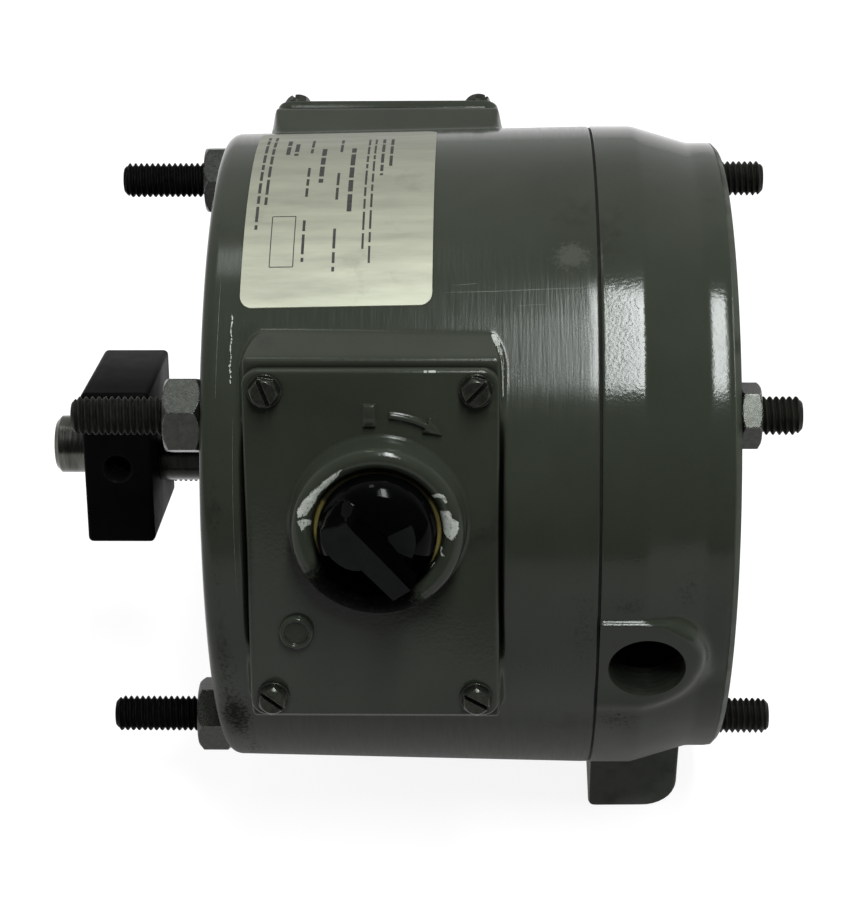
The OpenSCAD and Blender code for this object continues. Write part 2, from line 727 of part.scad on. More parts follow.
// release lever
module lever() {
    slot_half = cam_r + 0.25;
    color(zinc) pad_frame() difference() {
        union() {
            slab(x_lever, x_lever + lever_t) {
                circle(34);
                translate([-lever_arm, -12]) square([30, 24]);
                translate([24, -10]) square([14, 20]);
                translate([24, -3.2]) square([30.5, 6.4]);
                translate([knob_t - 10.5, 30]) square([21, 20]);
            }
            translate([x_pivot, -lever_arm, -12]) cylinder(h = 24, r = 6.5);
            translate([cam_x - 10, knob_t - 10.5, 45]) cube([x_lever + 1 - cam_x + 10, 21, 5]);
        }
        rod(x_lever - 1, x_lever + lever_t + 1, 20.5);
        for (i = [-1, 1]) translate([0, 0, i * pull_s]) rod(x_lever - 1, x_lever + lever_t + 1, pull_r + 0.8);
        translate([x_pivot, -lever_arm, -20]) cylinder(h = 40, r = pivot_r + run_gap);
        translate([x_pivot, link_t, -20]) cylinder(h = 40, r = 2.5 + loose);
        translate([cam_x - slot_half, knob_t - 6.8, 40]) cube([2 * slot_half, 13.6, 20]);
    }
}

// pressure plate group
module pressure_plate() {
    color(steel) difference() {
        eared_plate(x_press, press_t, press_r);
        rod(x_press - 1, x_press + press_t + 1, 29);
        pad_frame() for (i = [-1, 1]) translate([0, 0, i * pull_s])
            rod(x_press - 1, x_press + press_t - 1.5, pull_r + seat);
    }
}
module pull_studs() {
    color(steel) pad_frame() for (i = [-1, 1]) translate([0, 0, i * pull_s])
        rod(x_lever - 8, x_press + press_t - 1.6, pull_r);
}
module pull_nuts() {
    color(zinc) pad_frame() for (i = [-1, 1]) translate([x_lever - 5.3, 0, i * pull_s]) rotate([0, 90, 0])
        hex_nut(10, 5, pull_r + seat);
}
module torque_springs() {
    wire = 1.1;
    span = x_press - x_support - support_t;
    color(steel) pad_frame() for (i = [-1, 1]) translate([x_press - span + 0.2, 0, i * pull_s])
        rotate([0, 90, 0]) linear_extrude(span - 0.3, twist = -360 * 5, slices = 80, $fn = 8)
            translate([6.2, 0]) circle(wire * 1.3, $fn = 8);
}

housing();
endplate();
body_gasket();
thru_studs();
stud_nuts();
jam_nut();
front_cover();
rear_cover();
front_gasket();
rear_gasket();
cover_screws();
access_plug();
label_plate();
knob_washer();
shaft_seal();
front_outer_race();
rear_outer_race();
stationary_disc();
support_plate();
support_posts();
post_nuts();
pivot_pin();
solenoid_frame();
solenoid_coil();
shaft();
drive_hub();
drive_key();
friction_disc_a();
friction_disc_b();
coupling_hub();
coupling_key();
coupling_screw();
front_inner_race();
rear_inner_race();
hub_ring();
knob();
release_shaft();
release_clip();
lever();
plunger();
link_pin();
pressure_plate();
pull_studs();
pull_nuts();
torque_springs();
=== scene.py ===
import math
import bpy
import bmesh
import numpy as np
from mathutils import Matrix, Vector


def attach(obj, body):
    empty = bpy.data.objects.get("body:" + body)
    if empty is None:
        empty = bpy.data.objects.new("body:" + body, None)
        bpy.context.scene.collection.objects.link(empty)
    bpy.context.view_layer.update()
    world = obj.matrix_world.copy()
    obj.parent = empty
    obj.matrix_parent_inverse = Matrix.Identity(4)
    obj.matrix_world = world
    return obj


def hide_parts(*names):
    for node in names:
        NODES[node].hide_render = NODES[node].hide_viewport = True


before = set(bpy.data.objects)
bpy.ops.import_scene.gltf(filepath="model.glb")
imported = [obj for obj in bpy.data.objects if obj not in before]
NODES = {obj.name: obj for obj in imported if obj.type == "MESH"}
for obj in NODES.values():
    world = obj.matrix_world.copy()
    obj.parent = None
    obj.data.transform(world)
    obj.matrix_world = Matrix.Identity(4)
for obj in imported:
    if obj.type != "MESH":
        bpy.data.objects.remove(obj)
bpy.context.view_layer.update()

MM = 0.001
scene = bpy.context.scene
scene.view_settings.view_transform = "Standard"

# Main sizes in millimetres, in the part's frame: X runs along the shaft, with the motor face at 0
X_JOINT, X_HOUSE, X_END, X_INNER = -34.0, -34.5, -131.4, -123.4
BODY_R, FREE_R, WALL_R, EDGE = 87.2, 85.4, 78.0, 3.0
TILT = 22.5
PAD_X, PAD_HX, PAD_FACE, PAD_HALF = -89.4, 31.4, 81.0, 46.2
PAD_DRAFT, PAD_CORNER, PAD_EDGE = 0.36, 5.0, 50.2
COVER_HX, COVER_HT, COVER_CORNER = 30.75, 44.4, 4.0
KNOB_X, KNOB_T = -87.8, 6.5
PLUG_X, PLUG_T = PAD_X - 19, -22
CONDUIT_X, CONDUIT_R, BOSS_R = -22.0, 9.6, 15.0
FOOT_LEFT, FOOT_RIGHT, FOOT_LOW, FOOT_TOP = -33.0, -8.5, -88.9, -58.0
STUD_R, STUD_PR, PITCH = 4.7625, 74.6125, 1.5875
HUB_X, HUB_LENGTH, HUB_SIDE, HUB_ROUND, HUB_TURN = -161.45, 18.3, 42.6, 1.4, -20.9
FLOOR_X, FLOOR_Z = -66.0, -88.95
# Radius at which lengths round the body are turned into angles
ARC_R = 87.0
# Height of the fine paint marks and of the label's bars over the housing
MARK_LIFT, INK_LIFT = 0.015, 0.262


# Geometry helpers

def polar(x, beta, r):
    """Point at natural angle beta in degrees, from -Y towards +Z."""
    b = np.radians(beta)
    return np.stack(np.broadcast_arrays(x, -r * np.cos(b), r * np.sin(b)), axis=-1)


def circle(n):
    """Angles of n points round a full turn, in radians."""
    return np.linspace(0, 2 * np.pi, n, endpoint=False)


def ring_x(x, r, angles):
    """Ring of radius r about the X axis."""
    return np.stack([np.full(len(angles), x), r * np.cos(angles), r * np.sin(angles)], axis=-1)


def ring_y(x, y, r, angles):
    """Ring of radius r about a line along Y through x."""
    return np.stack([x + r * np.cos(angles), np.full(len(angles), y), r * np.sin(angles)], axis=-1)


def turn_x(deg):
    """Matrix of a turn about X."""
    c, s = math.cos(math.radians(deg)), math.sin(math.radians(deg))
    return np.array([[1, 0, 0], [0, c, -s], [0, s, c]])


def on_pad(x, t, n, rear=False):
    """Pad frame to model frame: t runs up the pad, n out of it."""
    b = math.radians(TILT)
    y = t * math.sin(b) - n * math.cos(b)
    z = t * math.cos(b) + n * math.sin(b)
    return (x, -y if rear else y, z)


UP, OUT = Vector(on_pad(0, 1, 0)), Vector(on_pad(0, 0, 1))


def from_knob(point):
    """Place of a point in the pad frame, seen from the knob's axis: x, t and height."""
    c = point / MM
    return c.x - KNOB_X, c.dot(UP) - KNOB_T, c.dot(OUT)


def obj_from(name, verts, faces, smooth=True, angle=35.0):
    """Object from points in millimetres, smooth up to the given angle in degrees."""
    mesh = bpy.data.meshes.new(name)
    mesh.from_pydata([tuple(float(c) * MM for c in v) for v in verts], [], [tuple(f) for f in faces])
    bm = bmesh.new()
    bm.from_mesh(mesh)
    bmesh.ops.remove_doubles(bm, verts=bm.verts, dist=1e-6)
    bmesh.ops.recalc_face_normals(bm, faces=bm.faces)
    bm.to_mesh(mesh)
    bm.free()
    mesh.validate()
    if smooth:
        mesh.polygons.foreach_set("use_smooth", [True] * len(mesh.polygons))
        mesh.set_sharp_from_angle(angle=math.radians(angle))
    o = bpy.data.objects.new(name, mesh)
    scene.collection.objects.link(o)
    return o


def quads(ni, nj, wrap=True):
    """Faces of a grid of ni rows and nj columns; the columns close on themselves if wrap."""
    faces = []
    for i in range(ni - 1):
        for j in range(nj if wrap else nj - 1):
            k = (j + 1) % nj
            faces.append((i * nj + j, i * nj + k, (i + 1) * nj + k, (i + 1) * nj + j))
    return faces


class Build:
    """Collects several shells into one mesh."""

    def __init__(self):
        self.v, self.f = [], []

    def add(self, verts, faces):
        k = len(self.v)
        self.v.extend(tuple(map(float, p)) for p in verts)
        self.f.extend(tuple(i + k for i in f) for f in faces)

    def grid(self, rows, wrap=True, caps=(False, False)):
        """Skin over rows of points, with a cap on the first and the last row where asked."""
        p = np.array(rows)
        ni, nj = p.shape[:2]
        faces = quads(ni, nj, wrap)
        if caps[0]:
            faces.append(tuple(range(nj)))
        if caps[1]:
            faces.append(tuple((ni - 1) * nj + j for j in range(nj - 1, -1, -1)))
        self.add(p.reshape(-1, 3), faces)

    def make(self, name, **kw):
        return obj_from(name, self.v, self.f, **kw)


def gauss(a, si, sj):
    """Gaussian blur: rows by reflection, columns periodic."""
    n = a.shape[0]
    b = np.concatenate([a[::-1], a, a[::-1]], axis=0)
    fi = np.fft.fftfreq(b.shape[0])[:, None]
    fj = np.fft.rfftfreq(b.shape[1])[None, :]
    k = np.exp(-2 * np.pi ** 2 * ((fi * si) ** 2 + (fj * sj) ** 2))
    return np.fft.irfft2(np.fft.rfft2(b) * k, s=b.shape)[n:2 * n]


def soften(field, along, around, dx, db):
    """Blurs a field over x and angle by lengths along and around the body."""
    return gauss(field, along / dx, math.degrees(around / ARC_R) / db)


def sample(field, xs, x0, dx, angles, db):
    """Bilinear samples of field[x, beta] on the product grid xs, angles."""
    u = np.clip((xs - x0) / dx, 0, field.shape[0] - 1.001)
    w = (angles % 360.0) / db
    i, j = u.astype(int), w.astype(int) % field.shape[1]
    a, b = (u - i)[:, None], (w - np.floor(w))[None, :]
    k = (j + 1) % field.shape[1]
    return ((1 - a) * ((1 - b) * field[i][:, j] + b * field[i][:, k])
            + a * ((1 - b) * field[i + 1][:, j] + b * field[i + 1][:, k]))


def spread(lo, hi, fine, coarse, zones):
    """Sample points from lo to hi, fine inside the zones, coarse elsewhere."""
    out, x = [], lo
    while x < hi - 1e-6:
        out.append(x)
        x += fine if any(a <= x < b for a, b in zones) else coarse
    return np.array(out)


def paint_on(o, name, values):
    """Stores one number for each vertex, which the paint reads as a mask."""
    layer = o.data.attributes.new(name, "FLOAT", "POINT")
    layer.data.foreach_set("value", [float(v) for v in values])


def natural(o):
    """X and natural angle, from -180 to 180, of each vertex."""
    c = np.array([v.co for v in o.data.vertices]) / MM
    return c[:, 0], np.degrees(np.arctan2(c[:, 2], -c[:, 1]))


def spots(x, a, marks):
    """Sum of soft marks: strength, centre in x and angle, width in x and angle."""
    return sum(k * np.exp(-((x - x0) / wx) ** 2 - ((a - a0) / wa) ** 2) for k, x0, a0, wx, wa in marks)


# Housing casting

HOUSE_INNER = [(X_HOUSE, WALL_R), (X_INNER, WALL_R), (X_INNER, 28.0), (-114.4, 28.0), (-114.4, 21.02),
               (-126.4, 21.02), (-126.4, 16.0), (X_END, 16.0), (X_END, 40.0), (X_END, WALL_R)]
HOUSE_DIRT = [(0.75, -126, -15, 4, 8), (0.34, -123.5, -33, 4, 9), (0.5, -127, 2, 3, 6),
              (0.27, -127.5, 24, 3, 22), (0.5, -126, 163, 4, 9), (0.45, -60, 190, 8, 5),
              (0.35, -38, 8, 4, 12)]
# Angles from a pad's normal: its reach, and the shoulder where the skin needs a fine grid
PAD_REACH, PAD_SHOULDER = 58.0, 33.0
# Relief of the finished housing over x and angle, kept for the marks that lie on it
FIELD = {}


def skin_r(x):
    """Radius of the drafted housing without its pads."""
    return BODY_R - (BODY_R - FREE_R) * (X_HOUSE - x) / (X_HOUSE - X_END)


def house_r(x, beta):
    """Radius of the finished housing skin at one point."""
    f, dx, db = FIELD["housing"]
    return float(skin_r(x) + sample(f, np.array([x]), X_END, dx, np.array([beta]), db)[0, 0])


def pad_radius(beta):
    """Ray radius of a pad block, beta in degrees from its normal."""
    p = np.radians(np.clip(np.abs(beta), 0, 60))
    flat = PAD_FACE / np.cos(p)
    slope = (PAD_HALF + PAD_DRAFT * PAD_FACE) / (np.sin(p) + PAD_DRAFT * np.cos(p))
    return np.minimum(flat, slope)


def housing():
    """Drafted shell with a rounded free edge and two pads blended into it."""
    dx, db = 0.25, 0.2
    x = np.arange(X_END, X_HOUSE + dx, dx)[:, None]
    beta = np.arange(0, 360, db)[None, :]
    base = skin_r(x) + 0 * beta
    delta = np.zeros_like(base)
    wall = math.degrees(math.atan2(PAD_HALF, PAD_FACE))
    for centre in (TILT, 180 - TILT):
        phi = (beta - centre + 180) % 360 - 180
        r = pad_radius(phi) + 0 * x
        t = r * np.sin(np.radians(phi))
        qx = np.abs(x - PAD_X) - (PAD_HX - PAD_CORNER)
        qt = np.abs(t) - (PAD_EDGE - PAD_CORNER)
        out = np.hypot(np.maximum(qx, 0), np.maximum(qt, 0)) + np.minimum(np.maximum(qx, qt), 0) - PAD_CORNER
        r = np.where(np.abs(phi) > wall, np.maximum(r, base), r)
        delta += np.where((out < 0) & (np.abs(phi) < PAD_REACH), r - base, 0)
    delta = soften(delta, 0.42, 0.6, dx, db)
    FIELD["housing"] = delta, dx, db
    left, right = PAD_X - PAD_HX, PAD_X + PAD_HX
    zones_x = [(X_END, X_END + 4), (left - 2, left + 4.5), (right - 4.5, right + 2)]
    xs = spread(X_END + EDGE, X_HOUSE - 0.6, 0.32, 1.5, zones_x)
    shoulders = [c + s * PAD_SHOULDER for c in (TILT, 180 - TILT) for s in (-1, 1)]
    zones_b = [(a - 7.5, a + 7.5) for a in shoulders]
    zones_b += [(z[0] + 360, 360) for z in zones_b if z[0] < 0]
    angles = spread(0, 360, 0.32, 0.9, zones_b)
    radii = skin_r(xs)[:, None] + sample(delta, xs, X_END, dx, angles, db)
    rows = []
    for a in np.radians(np.linspace(0, 90, 9)[:-1]):
        rows.append(polar(X_END + EDGE * (1 - math.cos(a)), angles, skin_r(X_END) - EDGE * (1 - math.sin(a))))
    rows += [polar(xv, angles, r) for xv, r in zip(xs, radii)]
    rows += [polar(X_HOUSE - 0.25, angles, radii[-1] - 0.05), polar(X_HOUSE, angles, radii[-1] - 0.3)]
    rows += [polar(xv, angles, r) for xv, r in HOUSE_INNER]
    b = Build()
    b.grid(rows + rows[:1])
    o = b.make("housing_skin", angle=38)
    x, a = natural(o)
    paint_on(o, "dull", np.interp(a, [-175, -160, -15, 5], [0, 1, 1, 0]))
    paint_on(o, "dirt_and_shade", np.clip(spots(x, a, HOUSE_DIRT), 0, 0.7))
    paint_on(o, "pale", np.clip(spots(x, a, [(1.1, -40.8, 71.6, 4.4, 2.7)]), 0, 0.95))
    return o


# Endplate casting with the conduit boss and feet

PLATE_INNER = [(0, 57.6), (-0.45, 57.15), (-3.2, 57.15), (-3.2, 40), (-3.2, 23.4), (-3.6, 23), (-6, 23),
               (-6, 27.52), (-20, 27.52), (-20, 66), (X_JOINT, 66), (X_JOINT, WALL_R)]
PLATE_DIRT = [(0.32, -28, -14, 7, 4), (0.42, -27, 12.5, 6, 2), (0.36, -12, 14, 5, 5)]


def plate_r(x):
    """Radius of the endplate without its boss: rim, cone and motor end."""
    return np.interp(x, [X_JOINT, -23, -8, -1.6, 0], [BODY_R, BODY_R, 82.7, 82.7, 81.1])


def plate_field(dx, db):
    """Radius of the finished endplate over x and angle, with the flat conduit boss blended in."""
    x = np.arange(X_JOINT, 0 + dx, dx)[:, None]
    beta = np.arange(0, 360, db)[None, :]
    raw = plate_r(x) + 0 * beta
    base = gauss(np.repeat(plate_r(x), 8, axis=1), 0.7 / dx, 0.01)[:, :1]
    base[-7:] = plate_r(x)[-7:]
    phi = (beta + 180) % 360 - 180
    r = BODY_R / np.cos(np.radians(np.clip(phi, -30, 30)))
    t = r * np.sin(np.radians(phi))
    out = np.where(x < CONDUIT_X, np.abs(t), np.hypot(x - CONDUIT_X, t)) - BOSS_R
    delta = np.where((out < 0) & (np.abs(phi) < 20), np.maximum(r, raw) - raw, 0)
    # The straight upper edge is crisp, the round end softer and the lower edge softest
    crisp = soften(delta, 0.4, 0.22, dx, db)
    soft = soften(delta, 0.9, 0.9, dx, db)
    low = soften(delta, 1.9, 1.9, dx, db)
    soft += (low - soft) * np.clip((4 - t) / 8, 0, 1)
    w = np.clip((x + 20) / 6, 0, 1)
    w = np.where(phi < 0, 1.0, w * w * (3 - 2 * w))
    return base + (crisp + (soft - crisp) * w)


def feet(b):
    """Two feet with one large and one small lower corner and eased edges."""
    large, small = 9.5, 1.5
    for s in (-1, 1):
        points = []
        for a in np.radians(np.linspace(0, 90, 9)):
            points.append((FOOT_RIGHT - large + large * math.cos(a), FOOT_LOW + large - large * math.sin(a)))
        for a in np.radians(np.linspace(0, 90, 5)):
            points.append((FOOT_LEFT + small - small * math.sin(a), FOOT_LOW + small - small * math.cos(a)))
        points = np.array(points + [(FOOT_LEFT, FOOT_TOP), (FOOT_RIGHT, FOOT_TOP)])
        inward = points.mean(axis=0) - points
        inward /= np.linalg.norm(inward, axis=1)[:, None]
        rows = []
        for y, inset in ((30, 1.2), (30.35, 0.35), (31.2, 0), (52.8, 0), (53.65, 0.35), (54, 1.2)):
            q = points + inward * inset
            q[-2:, 1] = FOOT_TOP
            q[q[:, 1] < FOOT_LOW + 0.05, 1] = FOOT_LOW
            rows.append(np.stack([q[:, 0], np.full(len(q), s * y), q[:, 1]], axis=-1))
        b.grid(rows, caps=(True, True))


def endplate():
    """Coned casting, open at the conduit entry, with its feet."""
    dx, db = 0.25, 0.05
    xs = np.concatenate([spread(-33.7, -4, 0.45, 0.6, [(-33.7, -5)]), [-4, -3, -2.2, -1.75, -1.45]])
    angles = np.concatenate([spread(0, 13, 0.075, 0.34, [(9.1, 10.5)]), spread(13, 347, 0.34, 1.2, []),
                         spread(347, 360, 0.075, 0.34, [(349.5, 350.9)])])
    radii = sample(plate_field(dx, db), xs, X_JOINT, dx, angles, db)
    rows = [polar(X_JOINT, angles, radii[0] - 0.3), polar(X_JOINT + 0.1, angles, radii[0] - 0.08)]
    rows += [polar(xv, angles, r) for xv, r in zip(xs, radii)]
    rows += [polar(xv, angles, r) for xv, r in [(-0.2, 81.3), (0, 80.9)] + PLATE_INNER]
    p = np.stack(rows + rows[:1])
    points = p.reshape(-1, 3).copy()
    # The faces inside the entry are left out, and the points round it are drawn onto its circle
    d = np.hypot(points[:, 0] - CONDUIT_X, points[:, 2])
    cut = (points[:, 1] < -80) & (d < CONDUIT_R)
    faces = [f for f in quads(*p.shape[:2]) if not all(cut[q] for q in f)]
    for q in {q for f in faces for q in f if cut[q]}:
        s = CONDUIT_R / d[q]
        points[q] = CONDUIT_X + (points[q, 0] - CONDUIT_X) * s, -BODY_R, points[q, 2] * s
    b = Build()
    b.add(points, faces)
    feet(b)
    o = b.make("endplate_skin", angle=38)
    x, a = natural(o)
    paint_on(o, "dull", np.interp(a, [-175, -160, -8, 4], [0, 1, 1, 0]))
    paint_on(o, "dirt_and_shade", spots(x, a, PLATE_DIRT))
    return o


def bore():
    """Threaded bore of the conduit entry: chamfer, then a helical groove."""
    depth, pitch = 9.6, 1.814
    angles = circle(72)
    rows = []
    for c in np.concatenate([[0.0, 0.35, 0.75], np.arange(0.9, depth, pitch / 8)]):
        wave = np.abs(2 * ((c / pitch - angles / (2 * np.pi)) % 1.0) - 1)
        r = CONDUIT_R - 0.25 + 0.75 * np.clip(1.25 * wave - 0.12, 0, 1) * np.clip((c - 0.7) / 0.5, 0, 1)
        if c < 0.8:
            r = CONDUIT_R + 0.06 - 0.31 * (c / 0.75)
        rows.append(ring_y(CONDUIT_X, c - BODY_R, r, angles))
    rows.append(ring_y(CONDUIT_X, depth - BODY_R, 10.8, angles))
    b = Build()
    b.grid(rows)
    return b.make("conduit_thread", angle=60)


def cavity():
    """Black tube inside the conduit entry behind its thread: painted shade where the entry's inside lies in
    shadow.
    """
    profile = ((9.2, 12.0), (9.7, 10.5), (12.0, 10.2), (21.0, 10.0), (21.6, 9.4), (21.6, 2.0))
    b = Build()
    b.grid([ring_y(CONDUIT_X, c - BODY_R, r, circle(48)) for c, r in profile], caps=(False, True))
    return b.make("conduit_cavity")


# Threaded studs

def stud_rows(x0, x1, phase):
    """Rows of a threaded rod from x0 to x1 about the X axis, tapered at both ends."""
    depth, taper_len = 0.92, 1.3
    angles = circle(40)
    rows = [ring_x(x0, STUD_R - 1.5, angles)]
    for x in np.concatenate([np.arange(x0, x1, PITCH / 6), [x1]]):
        wave = np.abs(2 * (((x - x0) / PITCH - angles / (2 * np.pi) + phase) % 1.0) - 1)
        r = STUD_R - depth * np.clip(1.35 * (1 - wave) - 0.25, 0, 1)
        taper = min(1.0, (x - x0) / taper_len, (x1 - x) / taper_len)
        rows.append(ring_x(x, np.minimum(r, STUD_R - 1.4 * (1 - max(0.0, taper))), angles))
    rows.append(ring_x(x1, STUD_R - 1.5, angles))
    return np.stack(rows)


def studs(name, ends):
    """Threaded ends with the plain rods behind them; ends are (number, angle, side)."""
    b = Build()
    for k, beta, side in ends:
        centre = polar(0.0, beta, STUD_PR)
        thread, rod = ((-163.7, -128.0), (-128.2, -60.0)) if side < 0 else ((-4.0, 15.1), (-60.0, -3.8))
        b.grid(stud_rows(*thread, 0.23 * k) + centre, caps=(True, True))
        b.grid([ring_x(x, 4.2, circle(24)) + centre for x in rod], caps=(True, True))
    return b.make(name, angle=50)


# Output hub

def hub():
    """Square block with rounded edges, a boss and a set screw hole."""
    bm = bmesh.new()
    bmesh.ops.create_cube(bm, size=1.0)
    bmesh.ops.scale(bm, vec=(HUB_LENGTH, HUB_SIDE, HUB_SIDE), verts=bm.verts)
    bmesh.ops.bevel(bm, geom=bm.edges[:], offset=HUB_ROUND, offset_type="OFFSET", segments=5, profile=0.5,
                    affect="EDGES")
    bmesh.ops.translate(bm, vec=(HUB_X, 0, 0), verts=bm.verts)
    b = Build()
    b.add([v.co for v in bm.verts], [[v.index for v in f.verts] for f in bm.faces])
    bm.free()
    block = b.make("hub_block", angle=30)
    hole = ((4.6, -22.0), (3.9, -21.25), (3.5, -20.9), (3.25, -20.5), (3.2, -19.8), (3.2, -8.2))
    c = Build()
    c.grid([ring_y(HUB_X, y, r, circle(48)) for r, y in hole], caps=(True, True))
    cutter = c.make("hub_cutter", smooth=False)
    m = block.modifiers.new("cut", "BOOLEAN")
    m.operation, m.solver, m.object = "DIFFERENCE", "EXACT", cutter
    mesh = bpy.data.meshes.new_from_object(block.evaluated_get(bpy.context.evaluated_depsgraph_get()))
    whole = Build()
    whole.add([v.co / MM for v in mesh.vertices], [list(f.vertices) for f in mesh.polygons])
    boss = ((-169.0, 9.9), (-171.8, 9.9), (-172.1, 9.75), (-172.2, 9.4), (-172.2, 8.2), (-169.5, 8.2))
    whole.grid([ring_x(x, r, circle(64)) for x, r in boss])
    for o in (cutter, block):
        bpy.data.objects.remove(o)
    return obj_from("hub_body", np.array(whole.v) @ turn_x(HUB_TURN).T, whole.f, angle=32)


# Covers, plug, washer and knob

def rounded_rect(hx, ht, r):
    """Outline of a rectangle with rounded corners, from its half sizes."""
    points = []
    corners = ((hx - r, ht - r, 0), (-hx + r, ht - r, 90), (-hx + r, -ht + r, 180), (hx - r, -ht + r, 270))
    for cx, ct, a0 in corners:
        for a in np.radians(np.linspace(a0, a0 + 90, 8)):
            points.append((cx + r * math.cos(a), ct + r * math.sin(a)))
    return points


def plate(b, rear):
    """Cover plate with rounded corners and a rounded outer edge."""
    rows = []
    for h, inset in ((81.8, 0.25), (82.0, 0.0), (84.0, 0.0), (84.45, 0.12), (84.7, 0.4), (84.8, 0.85)):
        q = rounded_rect(COVER_HX - inset, COVER_HT - inset, COVER_CORNER - inset)
        rows.append([on_pad(PAD_X + x, t, h, rear) for x, t in q])
    b.grid(rows, caps=(True, True))


def rear_cover():
    """Plain plate on the rear pad."""
    b = Build()
    plate(b, True)
    return b.make("rear_cover_skin", angle=40)


def turned(b, cx, ct, profile, n=96, caps=(True, True)):
    """Lathe about the pad normal through (cx, ct); profile is (radius, height) pairs."""
    rows = []
    for r, h in profile:
        rows.append([on_pad(cx + r * math.cos(a), ct + r * math.sin(a), h) for a in circle(n)])
    b.grid(rows, caps=caps)


def collar_profile():
    """Outline of the collar round the knob, from its foot over the lip to its floor."""
    profile = [(22.2, 84.6), (22.0, 84.82), (21.65, 84.98), (21.4, 85.3), (21.25, 85.9), (21.15, 87.2),
            (20.9, 90.6), (20.85, 91.6)]
    lip_r, lip_half, lip_foot, lip_rise = 18.25, 2.6, 91.6, 2.2
    for a in np.radians(np.linspace(0, 180, 17)):
        profile.append((lip_r + lip_half * math.cos(a), lip_foot + lip_rise * math.sin(a)))
    return profile + [(15.75, 91.3), (16.1, 90.9), (16.2, 89.9), (15.0, 89.8), (1.0, 89.8)]


def relief(b, points, edge):
    """Low raised mark on the cover with a rounded top edge; points in (x, t) from the knob's axis."""
    h0, h1 = 84.7, 85.6
    points = np.array(points) + (KNOB_X, KNOB_T)
    after, before = np.roll(points, -1, axis=0), np.roll(points, 1, axis=0)
    tangent = after - before
    tangent /= np.linalg.norm(tangent, axis=1)[:, None]
    normal = np.stack([tangent[:, 1], -tangent[:, 0]], axis=1)
    area = 0.5 * np.sum(points[:, 0] * after[:, 1] - after[:, 0] * points[:, 1])
    normal *= -1 if area > 0 else 1
    rows = []
    for h, inset in ((h0, -0.3), (h0 + 0.12, -0.1), (h0 + 0.3, 0), (h1 - 0.25, 0.05), (h1 - 0.06, edge * 0.6),
                     (h1, edge)):
        rows.append([on_pad(x, t, h) for x, t in points + normal * inset])
    b.grid(rows, caps=(True, True))


def front_cover():
    """Plate with the collar, a raised arrow and a raised bar; the collar carries a painted shadow of the knob
    below it.
    """
    b = Build()
    plate(b, False)
    turned(b, KNOB_X, KNOB_T, collar_profile())
    mid, half, barb = 26.9, 0.7, 2.0
    arc = np.radians(np.linspace(84, 64.5, 12))
    arrow = [(mid + half, v) for v in arc]
    arrow += [(mid + barb, arc[-1]), (mid, math.radians(55)), (mid - barb, arc[-1])]
    arrow += [(mid - half, v) for v in arc[::-1]]
    relief(b, [(r * math.cos(v), r * math.sin(v)) for r, v in arrow], 0.3)
    relief(b, [(-3.4, 24.0), (-0.5, 24.0), (-0.5, 29.5), (-3.4, 29.5)], 0.4)
    o = b.make("front_cover_skin", angle=40)
    # Painted shadow of the knob on the lower part of the collar, kept as a mask on the mesh
    knob_shadow = []
    for v in o.data.vertices:
        x, t, h = from_knob(v.co)
        r, a = math.hypot(x, t), math.degrees(math.atan2(t, x)) % 360
        shade = np.interp(a, [196, 222, 290, 318], [0, 1, 1, 0]) * np.interp(r, [20.8, 22], [1, 0.3])
        knob_shadow.append(0.9 * shade if 14.5 < r < 22.3 and h > 84.75 else 0.0)
    paint_on(o, "dirt_and_shade", knob_shadow)
    return o


def plug():
    """Painted plug with a dished head, low on the front cover."""
    head = [(1.0, 84.5), (4.35, 84.75), (4.3, 84.8), (4.2, 86.1), (4.05, 86.45), (3.8, 86.63), (3.45, 86.68),
            (3.2, 86.6), (3.05, 86.4), (2.95, 85.95), (0.6, 85.95)]
    b = Build()
    turned(b, PLUG_X, PLUG_T, head, n=48)
    return b.make("plug_head", angle=45)


def washer():
    """Yellow washer under the knob, darkened all round but at its two sides as painted shade under the
    collar's lip and the knob.
    """
    b = Build()
    ring = [(5.4, 89.8), (15.2, 89.8), (15.4, 90.0), (15.4, 90.75), (15.15, 91.0), (5.4, 91.0)]
    turned(b, KNOB_X, KNOB_T, ring + ring[:1], n=144, caps=(False, False))
    o = b.make("washer_ring", angle=40)
    places = [from_knob(v.co) for v in o.data.vertices]
    angle = [math.degrees(math.atan2(t, x)) % 360 for x, t, _ in places]
    paint_on(o, "dirt_and_shade", np.interp(angle, [22, 34, 146, 158, 194, 206, 322, 336], [0, 1, 1, 0, 0, 1, 1, 0]))
    return o


# Pointer of the knob from its axis: outline of its top and of its foot, point by point
KNOB_TOP = [(8.6, -9.88), (4.35, -12.65), (-3.53, -5.13), (-5.2, -5.05), (-6.95, -4.56), (-8.6, -3.5),
            (-10.0, -2.3), (-11.2, -0.8), (-12.1, 0.9), (-12.6, 2.6), (-12.75, 4.1), (-12.4, 5.1),
            (-11.5, 5.6), (-10.0, 5.75), (-8.6, 6.1), (-7.4, 6.8), (-6.4, 6.75), (-5.4, 5.6), (2.05, -2.1)]
KNOB_LOW = [(9.9, -8.9), (4.9, -12.7), (-3.2, -6.3), (-5.2, -6.2), (-7.2, -5.6), (-9.0, -4.4),
            (-10.5, -3.0), (-11.7, -1.2), (-12.5, 0.8), (-12.9, 2.6), (-12.9, 4.4), (-12.3, 5.9),
            (-11.2, 7.6), (-9.5, 9.3), (-7.3, 10.7), (-5.6, 10.8), (-4.2, 9.6), (-2.6, 7.9), (4.7, 0.3)]


